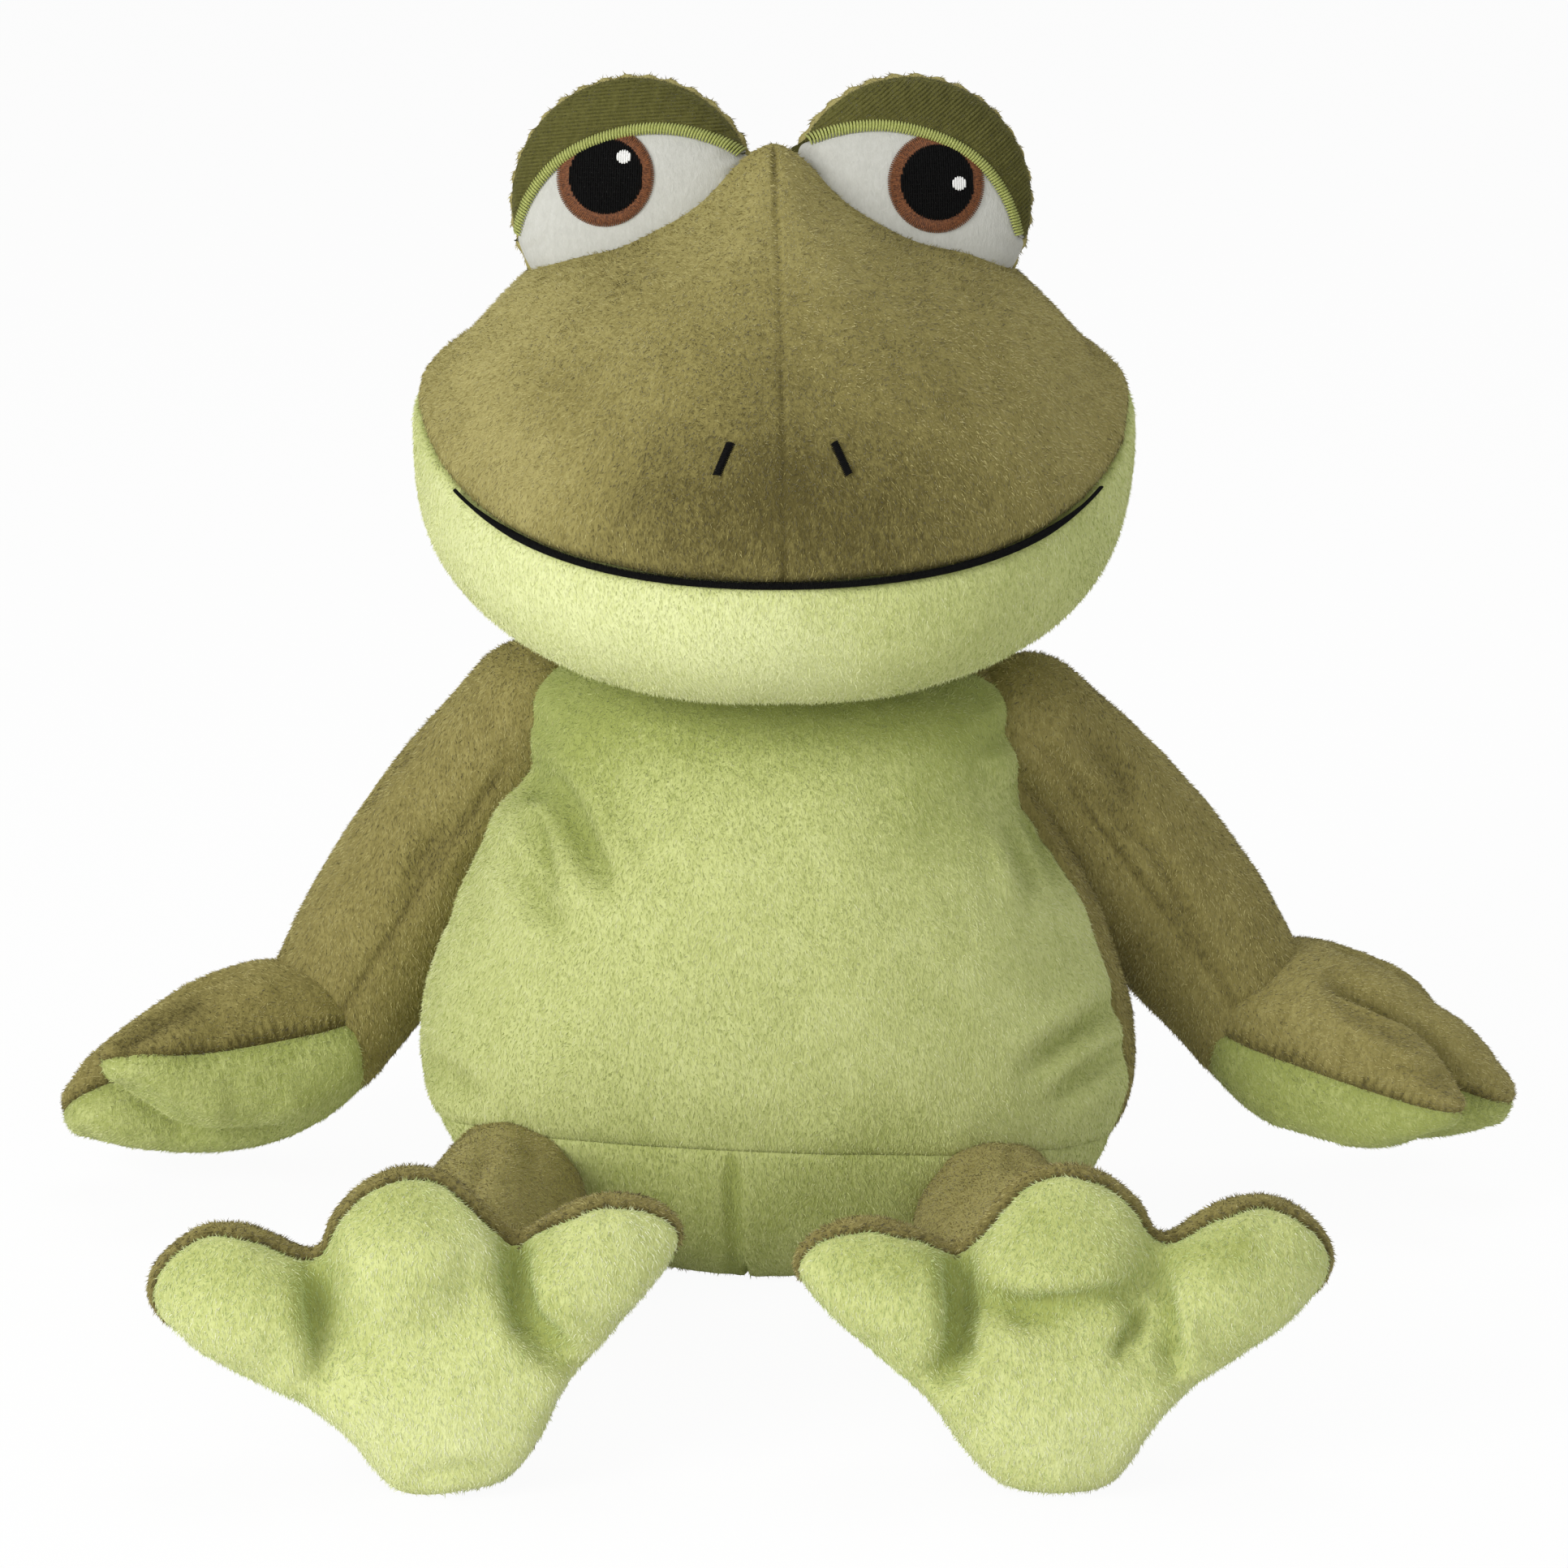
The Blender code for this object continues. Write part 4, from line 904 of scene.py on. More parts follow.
# Upwards from the mouth seam: place, then reach and rise to the side, to the front and to the back
upper_head_shares = [
    (0.00, 1.000, 0.000, 1.000, 0.000, 1.000, 0.000),
    (0.12, 0.965, 0.096, 1.012, 0.116, 1.010, 0.125),
    (0.25, 0.895, 0.198, 1.000, 0.236, 0.995, 0.260),
    (0.38, 0.812, 0.337, 0.930, 0.386, 0.930, 0.415),
    (0.52, 0.685, 0.492, 0.800, 0.540, 0.800, 0.550),
    (0.64, 0.550, 0.595, 0.640, 0.666, 0.620, 0.640),
    (0.76, 0.390, 0.668, 0.450, 0.785, 0.430, 0.705),
    (0.88, 0.205, 0.800, 0.240, 0.895, 0.220, 0.800),
    (0.96, 0.075, 0.945, 0.085, 0.972, 0.080, 0.940),
]
head_columns, upper_head_rows, jaw_rows = 104, 34, 26
head_middle = (head_shift, 0, torso_height + head_above_torso)
head_frame = Matrix.Translation(head_middle) @ Matrix.Rotation(head_turn, 4, "Z")


def turned(frame, points):
    """Points of a piece's own frame, in the frog's."""
    matrix = np.array(frame)
    return points @ matrix[:3, :3].T + matrix[:3, 3]


def head_ring(shares, height, angles):
    """A ring of the head. It leans with the mouth seam."""
    side_reach, side_rise, front_reach, front_rise, back_reach, back_rise = shares
    behind = np.sin(angles) > 0
    deep = np.sin(angles) ** 2
    x = head_half_width * side_reach * power(np.cos(angles), 2 / head_fullness)
    reach = np.where(behind, head_back * back_reach, head_front * front_reach)
    y = reach * power(np.sin(angles), 2 / head_fullness)
    rise = side_rise * (1 - deep) + np.where(behind, back_rise, front_rise) * deep
    along = np.clip((y + head_front) / head_front, 0, 1)
    climb = cheek_rise * along**2 * (3 - 2 * along) * (1 - np.abs(rise)) ** cheek_fade
    return np.stack([x, y, height * rise + mouth_slope * y + climb], 1)


def head_face(angle, at):
    """A place on the upper head, and the way that its surface faces there."""
    step, share_step = radians(1), 0.02

    def spot(angle, at):
        return turned(head_frame, head_ring(table_at(upper_head_shares, at), head_top, np.array([angle])))[0]

    round_it = spot(angle + step, at) - spot(angle - step, at)
    up_it = spot(angle, at + share_step) - spot(angle, max(at - share_step, 0))
    outward = np.cross(round_it, up_it)
    return spot(angle, at), outward / np.linalg.norm(outward)


def head_panel(name, rings, rows, tip, flip):
    """A panel of the head through rings from the mouth seam, closed at its tip."""
    rings = np.array(rings)
    grid = np.stack([spaced(rings[:, c], rows) for c in range(head_columns)], 1)
    faces = grid_faces(rows, head_columns, True)
    if flip:
        faces = [face[::-1] for face in faces]
    last = list(range((rows - 1) * head_columns, rows * head_columns))
    points, faces = capped(grid.reshape(-1, 3), faces, last, tip, flip)
    return new_piece(name, turned(head_frame, points), faces)


round_head = round_angles(head_columns)
last_place = upper_head_shares[-1][0]
upper_rings = [
    head_ring(table_at(upper_head_shares, at), head_top, round_head) for at in np.linspace(0, last_place, 90)
]
jaw_rings = []
for angle in np.linspace(0, radians(87), 90):
    reach, drop = cos(angle) ** (2 / jaw_fullness), -(sin(angle) ** (2 / jaw_fullness))
    jaw_rings.append(head_ring((reach, drop, reach, drop, reach, drop), jaw_depth, round_head))
upper_head = head_panel("face_panel", upper_rings, upper_head_rows, (0, 0, head_top), False)
jaw = head_panel("jaw_panel", jaw_rings, jaw_rows, (0, 0, -jaw_depth), True)
face_seam = [head_face(-pi / 2, at)[0] for at in np.linspace(0, last_place, 24)]
face_seam.append(np.array(head_frame @ Vector((0, 0, head_top))))

# Painted light and shade on the face: painted shade on the snout round the nostrils and down its middle, and
# painted light on the brow and the sides of the face, most on the frog's right, towards the key lamp
face_strokes = [
    (0.020, 0.75, [(860, 640), (960, 625), (1070, 645)]),
    (0.010, 0.20, [(958, 470), (962, 560)]),
    (0.014, -0.45, [(860, 300), (940, 240), (1020, 300)]),
    (0.016, -0.75, [(610, 380), (580, 450), (590, 530), (640, 590)]),
    (0.016, -0.35, [(1290, 400), (1330, 470), (1300, 540)]),
    (0.012, -0.30, [(700, 360), (780, 460)]),
]
# Painted light on the frog's right of the jaw, towards the key lamp, and a little painted shade on its left
jaw_strokes = [
    (0.018, -0.80, [(560, 650), (700, 760), (850, 800), (960, 810)]),
    (0.012, 0.10, [(1200, 800), (1330, 700)]),
]

stuff(upper_head, pressure=2.5, most_moved=0.0022)
stuff(jaw, pressure=2.5, most_moved=0.0022)
for panel, material, slot, node in (
    (upper_head, olive_plush, "olive_plush", "head_upper"),
    (jaw, green_plush, "green_plush", "head_jaw"),
):
    subdivide(panel, 2)
    # Painted shade along the seams and the face's middle seam, and the face's and jaw's painted light and
    # shade
    shade = sink_seams(panel)
    if panel is upper_head:
        seam_shade = sink_seams(panel, [face_seam], width=0.0016, depth=0.0011, rim=False)
        shade = np.maximum(shade, seam_shade * 0.9)
    shade = shade + paint_light_and_shade(panel, face_strokes if panel is upper_head else jaw_strokes)
    lump(panel, size=0.024, height=0.0014)
    keep_shade(panel, shade)
    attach(grow_pile(panel, olive_pile if panel is upper_head else green_pile, slot), "head")
    finish_panel(panel, head_frame.translation)
    dress(panel, material, slot, node)
    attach(panel, "head")


# The eyes: round stuffed pouches behind the brow. Each has a white front, a ribbed dark lid
# over its upper part and an olive back, joined by a puckered seam round the rim.
eye_radius = 0.0300
eye_front_bulge = 0.0135
eye_back_bulge = 0.0145
eye_out = 0.0333
eye_behind = 0.013
eye_above_seam = 0.0535
eye_lean = radians(10)
eye_splay = radians(9)
eye_roundness = 2.3
eye_puckers = 34
pucker_depth = 0.0005
pucker_reach = 0.30
back_stands_out = 0.0008  # how far the seam of the back shows round the front
side_names = {-1: "right", 1: "left"}
# From the lid's outer end to its inner end: across and up, in eye radii
lid_edge_shares = [
    (-0.93, -0.36), (-0.80, -0.05), (-0.62, 0.20), (-0.40, 0.37), (-0.12, 0.49),
    (0.18, 0.555), (0.48, 0.545), (0.76, 0.47), (0.93, 0.38),
]
lid_shifts = {-1: (-0.0012, 0.0008), 1: (-0.0022, 0.0014)}


def smooth_curve(points, steps, closed):
    """A smooth curve through points, with some steps between each two."""
    count = len(points)
    curve = []
    for k in range(count if closed else count - 1):
        near = [k - 1, k, k + 1, k + 2]
        near = [n % count if closed else min(max(n, 0), count - 1) for n in near]
        a, b, c, d = (np.array(points[n]) for n in near)
        for step in range(steps):
            t = step / steps
            bend = (a * 2 - b * 5 + c * 4 - d) * t**2
            curve.append((b * 2 + (c - a) * t + bend + (b * 3 - a - c * 3 + d) * t**3) / 2)
    return np.array(curve if closed else curve + [np.array(points[-1])])


def eye_frame(side):
    place = Vector((side * eye_out, eye_behind, eye_above_seam))
    turn = Matrix.Rotation(side * eye_splay, 4, "Z") @ Matrix.Rotation(-eye_lean, 4, "X")
    return head_frame @ Matrix.Translation(place) @ turn


def eye_depth(spots, bulge):
    """How far the pouch stands out over each spot of its rim's plane."""
    share = np.minimum(np.linalg.norm(spots, axis=-1) / eye_radius, 1)
    angle = np.arctan2(spots[..., 1], spots[..., 0])
    near_rim = np.clip((share - 1 + pucker_reach) / pucker_reach, 0, 1)
    puckered = pucker_depth * np.cos(eye_puckers * angle) * near_rim
    return bulge * np.sqrt(np.maximum(1 - share**eye_roundness, 0)) + puckered * (1 - share**12)


def on_eye(side, spots, height):
    """Places above spots on the front of an eye."""
    spots = np.asarray(spots)
    depth = -eye_depth(spots, eye_front_bulge) - height
    return turned(eye_frame(side), np.stack([spots[..., 0], depth, spots[..., 1]], -1))


def lid_edge(side, count):
    """Spots evenly along the lid's edge, from its outer end to its inner end."""
    points = [(side * -across * eye_radius, up * eye_radius) for across, up in lid_edge_shares]
    return spaced(smooth_curve(points, 8, False), count) + lid_shifts[side]


def eye_front_panel(name, side, rows, above):
    """The part of an eye's front between the lid's edge and the rim, above or below the edge."""
    columns = 72
    edge = lid_edge(side, columns)
    start = atan2(edge[0][1], edge[0][0] * side)
    end = atan2(edge[-1][1], edge[-1][0] * side)
    end += 0 if above else -2 * pi
    angles = np.linspace(start, end, columns)
    rim = np.stack([np.cos(angles) * side, np.sin(angles)], 1) * eye_radius
    # The rows stand closer together near the rim, where the pouch curves most
    shares = 1 - (1 - np.linspace(0, 1, rows)) ** 1.8
    grid = edge[None] * (1 - shares[:, None, None]) + rim[None] * shares[:, None, None]
    faces = grid_faces(rows, columns, False)
    if (side > 0) == above:
        faces = [face[::-1] for face in faces]
    panel = new_piece(name, on_eye(side, grid.reshape(-1, 2), 0), faces)
    weld(panel)
    return panel


def weld(piece, *others):
    """Joins other pieces to a piece, and the points that fall together."""
    weld_distance = 0.00002
    shell = bmesh.new()
    for part in (piece, *others):
        shell.from_mesh(part.data)
    bmesh.ops.remove_doubles(shell, verts=shell.verts, dist=weld_distance)
    shell.to_mesh(piece.data)
    shell.free()


def eye_back_panel(name, side):
    columns, rows = 204, 22
    angles = round_angles(columns)
    shares = np.sin(np.linspace(pi / 2, 0, rows + 1)[:-1])
    rays = np.stack([np.cos(angles), np.sin(angles)], 1)
    spots = np.concatenate([rays * share * eye_radius for share in shares])
    depth = eye_depth(spots, eye_back_bulge)
    scallops = np.concatenate([share**6 * (1 + 0.5 * np.cos(eye_puckers * angles)) for share in shares])
    spots = spots * (1 + scallops * back_stands_out / eye_radius)[:, None]
    points = np.stack([spots[:, 0], depth, spots[:, 1]], 1)
    faces = [face[::-1] for face in grid_faces(rows, columns, True)]
    last = list(range((rows - 1) * columns, rows * columns))
    points, faces = capped(points, faces, last, (0, eye_back_bulge, 0), True)
    return new_piece(name, turned(eye_frame(side), points), faces)


short_pile = 0.0003
white_plush = plush("white_plush", (0.44, 0.44, 0.40), (0.52, 0.52, 0.475), (0.60, 0.60, 0.56), short_pile)
lid_cloth = plush("lid_cloth", (0.05, 0.048, 0.011), (0.105, 0.1, 0.026), (0.16, 0.152, 0.048), short_pile)

for side, name in side_names.items():
    panels = (
        (eye_front_panel(f"{name}_white_of_eye", side, 30, False), white_plush, "white_plush", "eye_white"),
        (eye_front_panel(f"{name}_lid", side, 22, True), lid_cloth, "lid_cloth", "eyelid"),
        (eye_back_panel(f"{name}_back_of_eye", side), olive_plush, "olive_plush", "eye_back"),
    )
    middle = eye_frame(side).translation
    for panel, material, slot, node in panels:
        subdivide(panel)
        # Painted shade along the white's and the lid's sunk rims; the back of the eye is painted lighter
        # along its rim instead
        shade = sink_seams(panel, width=0.0016, depth=0.0007)
        if node == "eye_back":
            shade = -shade
        keep_shade(panel, shade)
        if node == "eyelid":
            pile = grow_pile(panel, lid_pile, slot, length=0.0007, root_radius=0.00009, density=2.4e6)
            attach(pile, "head")
        if node == "eye_back":
            pile = grow_pile(panel, olive_pile, slot, length=0.0012, root_radius=0.00015, density=1.0e6)
            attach(pile, "head")
        finish_panel(panel, middle)
        dress(panel, material, slot, f"{name}_{node}")
        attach(panel, "head")


# The embroidery: satin stitches of thread, laid side by side over the face before it was stuffed.
# Black for the mouth, nostrils and pupils, brown for the irises, white for the glints, green along the lids.
thread_radius = 0.00024
stitch_pitch = 0.00040
mouth_line_width = 0.0019
mouth_line_reach = radians(60)
nostril_length = 0.0090
nostril_width = 0.0020
nostril_spread = 0.0157
nostril_lean = radians(17)
nostril_height_share = 0.37
lid_trim_width = 0.0028
iris_radius = 0.0120
pupil_radius = 0.0091
catchlight_radius = 0.0017
iris_middles = {-1: (-0.0053, 0.0058), 1: (0.0040, 0.0040)}
pupil_shifts = {-1: (0.0003, 0.0001), 1: (0.0002, 0.0001)}
catchlight_shifts = {-1: (0.0043, 0.0047), 1: (0.0052, -0.0004)}
lid_edge_length = 0.075
trim_reach, rib_reach = 0.985, 0.975  # how near the rim they come, in eye radii
lid_rib_pitch = 0.00088
lid_rib_radius = 0.00036
trim_pitch = 0.00078
trim_thread_radius = 0.00035
iris_pitch = 0.00052
iris_under_pupil = 0.80  # where the ring's stitches start, in pupil radii
disc_pitch = 0.00056
disc_thread_radius = 0.00032
disc_stitch_length = 0.0034
lid_rib_lean = {-1: radians(5), 1: radians(36)}


def thread_tree():
    """The nodes that turn lines of points into threads that taper at both ends."""
    tree, wire, given = new_tree("satin_thread", [("Thread radius", "Float"), ("Thread", "Material")])
    lines = wire.node("GeometryNodeMeshToCurve", {}, {0: given[0]})
    along = wire.node("GeometryNodeSplineParameter", {}, {}, "Factor")
    arch = wire.node("ShaderNodeMath", {"operation": "SINE"}, {0: along * pi})
    rounded = wire.node("ShaderNodeMath", {"operation": "POWER"}, {0: arch + 0.02, 1: 0.2})
    circle = {"Resolution": 6, "Radius": given[1]}
    profile = wire.node("GeometryNodeCurvePrimitiveCircle", {"mode": "RADIUS"}, circle)
    sweep = {"Curve": lines, "Profile Curve": profile, "Scale": rounded, "Fill Caps": True}
    swept = wire.node("GeometryNodeCurveToMesh", {}, sweep)
    real = wire.node("GeometryNodeRealizeInstances", {}, {0: swept})
    return end_tree(tree, wire.node("GeometryNodeSetMaterial", {}, {"Geometry": real, "Material": given[2]}))


satin_thread = thread_tree()


def sew(name, lines, material, slot, node=None, radius=thread_radius):
    """Stitches of thread along lines of points, in place of a solid if one is named."""
    points, edges = [], []
    for line in lines:
        edges += [(len(points) + k, len(points) + k + 1) for k in range(len(line) - 1)]
        points += list(line)
    piece = new_piece(name, points, [], edges)
    set_inputs(piece, satin_thread, {"Thread radius": radius, "Thread": material})
    apply_modifiers(piece)
    piece.data.shade_smooth()
    if node:
        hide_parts(node)
    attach(piece, "head")


def thread(name, dark, light, roughness, specular=0.25):
    """Glossy embroidery thread, with its fine twist."""
    material, wire = new_material(name)
    place = wire.node("ShaderNodeTexCoord", {}, {}, "Object")
    twist = noise(wire, place, 2200.0, 2.0)
    colour = wire.node("ShaderNodeValToRGB", {"stops": [(0.3, dark), (0.7, light)]}, {"Fac": twist}, "Color")
    bump = wire.node("ShaderNodeBump", {}, {"Height": twist, "Distance": 0.0001, "Strength": 0.5})
    surface(wire, {
        "Base Color": colour, "Normal": bump, "Roughness": roughness, "Specular IOR Level": specular,
    })
    return material


black_thread = thread("black_thread", (0.0015, 0.0015, 0.0015), (0.006, 0.006, 0.006), 0.9, 0.1)
brown_thread = thread("brown_thread", (0.060, 0.022, 0.010), (0.240, 0.088, 0.032), 0.55)
green_thread = thread("green_thread", (0.260, 0.290, 0.070), (0.440, 0.470, 0.150), 0.55)
white_thread = thread("white_thread", (0.70, 0.70, 0.68), (0.85, 0.85, 0.83), 0.5)


def stitches_across(points, outwards, widths, slant):
    """Stitches across a line on the head, each arched over the plush. Slant is how far their ends lean."""
    lines = []
    for k in range(1, len(points) - 1):
        along = points[k + 1] - points[k - 1]
        along = along / np.linalg.norm(along)
        across = np.cross(along, outwards[k])
        line = []
        for t in np.linspace(-1, 1, 7):
            lift = 0.0004 + 0.0007 * (1 - t**2)
            line.append(points[k] + across * t * widths[k] / 2 + along * slant * t + outwards[k] * lift)
        lines.append(line)
    return lines


def resampled(points, outwards, pitch):
    """Points and outward directions a pitch apart along a line."""
    length = np.linalg.norm(np.diff(points, axis=0), axis=1).sum()
    both = spaced(np.hstack([points, outwards * 1e-9]), int(length / pitch))
    fine = both[:, 3:] / np.linalg.norm(both[:, 3:], axis=1, keepdims=True)
    return both[:, :3], fine


found = [head_face(-pi / 2 + mouth_line_reach * t, 0) for t in np.linspace(-1, 1, 90)]
points, outwards = resampled(np.array([f[0] for f in found]), np.array([f[1] for f in found]), stitch_pitch)
tapering_stitches, end_share = 60, 0.35
from_end = np.minimum(np.arange(len(points)), np.arange(len(points))[::-1])
taper = np.clip(from_end / tapering_stitches, end_share, 1)
mouth_stitches = stitches_across(points, outwards, mouth_line_width * taper, slant=0.0003)
sew("mouth_stitches", mouth_stitches, black_thread, "black_thread", "mouth_line")

for side, name in side_names.items():
    middle, outward = head_face(-pi / 2 + side * nostril_spread / head_front, nostril_height_share)
    level = np.cross((0, 0, 1), outward)
    level /= np.linalg.norm(level)
    along = np.cross(outward, level) * cos(nostril_lean) - level * side * sin(nostril_lean)
    steps = np.linspace(-0.5, 0.5, int(nostril_length / stitch_pitch))
    points = middle + along * nostril_length * steps[:, None]
    outwards, widths = np.repeat([outward], len(points), 0), np.full(len(points), nostril_width)
    bar = stitches_across(points, outwards, widths, slant=0.0002)
    sew(f"{name}_nostril_stitches", bar, black_thread, "black_thread", f"{name}_nostril")

    edge = lid_edge(side, int(lid_edge_length / trim_pitch))
    trim = []
    for k in range(1, len(edge) - 1):
        if np.linalg.norm(edge[k]) > eye_radius * trim_reach:
            continue
        along = edge[k + 1] - edge[k - 1]
        along = along / np.linalg.norm(along)
        across = np.array((-along[1], along[0]))
        t = np.linspace(-1, 1, 7)
        spots = edge[k] + across * t[:, None] * lid_trim_width / 2 + along * 0.0002 * t[:, None]
        trim.append(on_eye(side, spots, (0.0003 + 0.0009 * (1 - t**2))))
    sew(f"{name}_lid_stitches", trim, green_thread, "green_thread", f"{name}_lid_trim", trim_thread_radius)

    fine_edge = lid_edge(side, 200)
    fine_edge = fine_edge[np.argsort(fine_edge[:, 0])]
    lean = lid_rib_lean[side]
    along, across = np.array((cos(lean), sin(lean))), np.array((-sin(lean), cos(lean)))
    reach = np.linspace(-eye_radius, eye_radius, 90)
    ribs = []
    for offset in np.arange(-eye_radius, eye_radius, lid_rib_pitch):
        spots = along * reach[:, None] + across * offset
        over_edge = spots[:, 1] - np.interp(spots[:, 0], fine_edge[:, 0], fine_edge[:, 1])
        inside_rim = np.linalg.norm(spots, axis=1) < eye_radius * rib_reach
        on_lid = (over_edge > lid_trim_width * 0.6) & inside_rim
        for part in np.split(np.arange(len(spots)), np.where(np.diff(on_lid.astype(int)))[0] + 1):
            if on_lid[part[0]] and len(part) > 4:
                ribs.append(on_eye(side, spots[part], -0.00005))
    sew(f"{name}_lid_ribs", ribs, lid_cloth, "lid_cloth", radius=lid_rib_radius)

    def under_lid(start, end, count):
        """Spots along a stitch, as far as the lid leaves it free."""
        spots = start + (np.array(end) - start) * np.linspace(0, 1, 60)[:, None]
        free = spots[spots[:, 1] < np.interp(spots[:, 0], fine_edge[:, 0], fine_edge[:, 1])]
        return spaced(free, count) if len(free) > 5 else []

    iris = np.array(iris_middles[side])
    pupil = iris + pupil_shifts[side]
    glint = pupil + catchlight_shifts[side]
    rings = []
    for angle in np.arange(0, 2 * pi, iris_pitch / iris_radius):
        ray = np.array((cos(angle), sin(angle)))
        inner = pupil + ray * pupil_radius * iris_under_pupil
        outer = iris + ray * iris_radius
        spots = under_lid(inner, outer, 5)
        if len(spots):
            rings.append(on_eye(side, spots, 0.0004))
    sew(f"{name}_iris_stitches", rings, brown_thread, "brown_thread", f"{name}_iris", disc_thread_radius)

    for middle, radius, level, material, slot, node in (
        (pupil, pupil_radius, 0.00070, black_thread, "black_thread", "pupil"),
        (glint, catchlight_radius, 0.0011, white_thread, "white_thread", "catchlight"),
    ):
        disc = []
        for row, x in enumerate(np.arange(-radius + disc_pitch / 2, radius, disc_pitch)):
            half = sqrt(radius**2 - x**2)
            first = -radius - disc_stitch_length * (row % 3) / 3
            for low in np.arange(first, half, disc_stitch_length):
                start, end = max(low - disc_pitch, -half), min(low + disc_stitch_length, half)
                spots = under_lid(middle + (x, start), middle + (x, end), 7) if end > start else []
                if len(spots):
                    disc.append(on_eye(side, spots, level))
        sew(f"{name}_{node}_stitches", disc, material, slot, f"{name}_{node}", disc_thread_radius)


# The arms: olive stuffed tubes sewn into the sides of the chest, with their seam along the front.
# They bend back at the elbow and run down into the hands.
shoulder_out = 0.0610
shoulder_back = 0.0040
shoulder_below_top = 0.0160
shoulder_radius = 0.0172
arm_radius = 0.0215
wrist_radius = 0.0182
elbow_reaches = {-1: (0.0270, 0.0176, 0.0430), 1: (0.0284, 0.0195, 0.0390)}
wrist_reaches = {-1: (0.0549, 0.0105, 0.0865), 1: (0.0580, 0.0195, 0.0804)}
# Along the arm: shares of the shoulder's, the arm's and the wrist's radius
arm_thickness_shares = [
    (0.00, 1.0, 0.0, 0.0),
    (0.40, 0.0, 1.0, 0.0),
    (0.75, 0.0, 1.0, 0.0),
    (1.00, 0.0, 0.0, 1.0),
]
arm_columns, arm_rows = 44, 52
sleeve_share = 0.985  # of a limb's radius before it is stuffed
bend_share = 0.45  # how far along a limb a point is found, which is not used
arm_folds = {
    -1: [
        (0.0026, 0.0016, [(520, 905), (470, 950), (440, 1000)]),
        (0.0030, 0.0018, [(560, 1010), (520, 1060), (500, 1120)]),
    ],
    1: [
        (0.0018, 0.0014, [(1267, 914), (1310, 945), (1423, 1049), (1460, 1122), (1489, 1173), (1513, 1216)]),
        (0.0030, 0.0016, [(1330, 900), (1380, 950), (1400, 1010)]),
    ],
}


def shoulder_place(side):
    return torso_frame @ Vector((side * shoulder_out, shoulder_back, torso_height - shoulder_below_top))


def reached(side, reaches):
    """The place that lies outwards, back and down from the shoulder."""
    out, back, down = reaches[side]
    return shoulder_place(side) + Vector((side * out, back, -down))


def arm_line(side, count):
    """Points from the shoulder through the elbow to the wrist."""
    turns = (shoulder_place(side), reached(side, elbow_reaches), reached(side, wrist_reaches))
    start, bend, end = (np.array(place) for place in turns)
    pull = bend * 2 - (start + end) / 2
    t = np.linspace(0, 1, count)[:, None]
    return start * (1 - t) ** 2 + pull * 2 * t * (1 - t) + end * t**2


def limb(name, centres, radii, columns):
    """A stuffed tube along a line of centres, with a round end at each end."""
    steps = np.gradient(centres, axis=0)
    along = steps / np.linalg.norm(steps, axis=1, keepdims=True)
    stations = []
    cap_steps = 9
    for step in range(1, cap_steps):
        angle = pi / 2 * step / cap_steps
        stations.append((centres[0] - along[0] * radii[0] * cos(angle), along[0], radii[0] * sin(angle)))
    stations += list(zip(centres, along, radii))
    for step in range(1, cap_steps):
        angle = pi / 2 * step / cap_steps
        stations.append((centres[-1] + along[-1] * radii[-1] * sin(angle), along[-1], radii[-1] * cos(angle)))
    angles = round_angles(columns)
    rings = []
    for centre, direction, radius in stations:
        across = np.cross(direction, (0, -1, 0.3))
        across /= np.linalg.norm(across)
        over = np.cross(direction, across)
        turns = np.cos(angles)[:, None] * across + np.sin(angles)[:, None] * over
        rings.append(centre + turns * radius)
    points = np.concatenate(rings)
    faces = grid_faces(len(rings), columns, True)
    first, last = list(range(columns)), list(range(len(points) - columns, len(points)))
    points, faces = capped(points, faces, first, centres[0] - along[0] * radii[0], True)
    points, faces = capped(points, faces, last, centres[-1] + along[-1] * radii[-1], False)
    return new_piece(name, points, faces)


def table_over(rows, count):
    return np.array([table_at(rows, at) for at in np.linspace(0, 1, count)])


for side, name in side_names.items():
    centres = arm_line(side, arm_rows)
    radii = table_over(arm_thickness_shares, arm_rows) @ np.array([shoulder_radius, arm_radius, wrist_radius])
    arm = limb(f"{name}_arm_sleeve", centres, radii * sleeve_share, arm_columns)
    stuff(arm, [0])
    subdivide(arm)
    seam = [tuple(centre - np.array((0, 1, 0)) * radius) for centre, radius in zip(centres, radii)][6:-4]
    shade = sink_seams(arm, [seam], width=0.0022, depth=0.0009, rim=False)
    shade = np.maximum(shade, press_folds(arm, arm_folds[side]) / 0.004)
    lump(arm, size=0.016, height=0.0012)
    # The seam and folds get painted shade, and the whole arm is painted a little lighter, as painted light
    keep_shade(arm, shade - 0.15)
    dress(arm, olive_plush, "olive_plush", f"{name}_arm")
    arm.data.shade_smooth()
    inside, outside = centres[0], centres[int(arm_rows * bend_share)]
    for piece in (arm, grow_pile(arm, olive_pile, "olive_plush")):
        tuple(inside)
        tuple(outside)
        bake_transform(piece)


# The hands: flat three-fingered pillows, olive on the back and pale green on the palm,
# sewn together along the outline and stuffed. The wrists end inside them.
hand_length = 0.070
hand_width = 0.072
palm_bulge = 0.0245
hand_back_bulge = 0.0205
hand_droop = 0.0045
hand_plumpness = 0.46
hand_spacing = 0.0024
finger_fall = {-1: radians(13), 1: radians(14)}
finger_sweep = {-1: radians(8), 1: radians(6)}
wrist_tilt = {-1: radians(13), 1: radians(-8)}
finger_tilt = {-1: radians(28), 1: radians(6)}
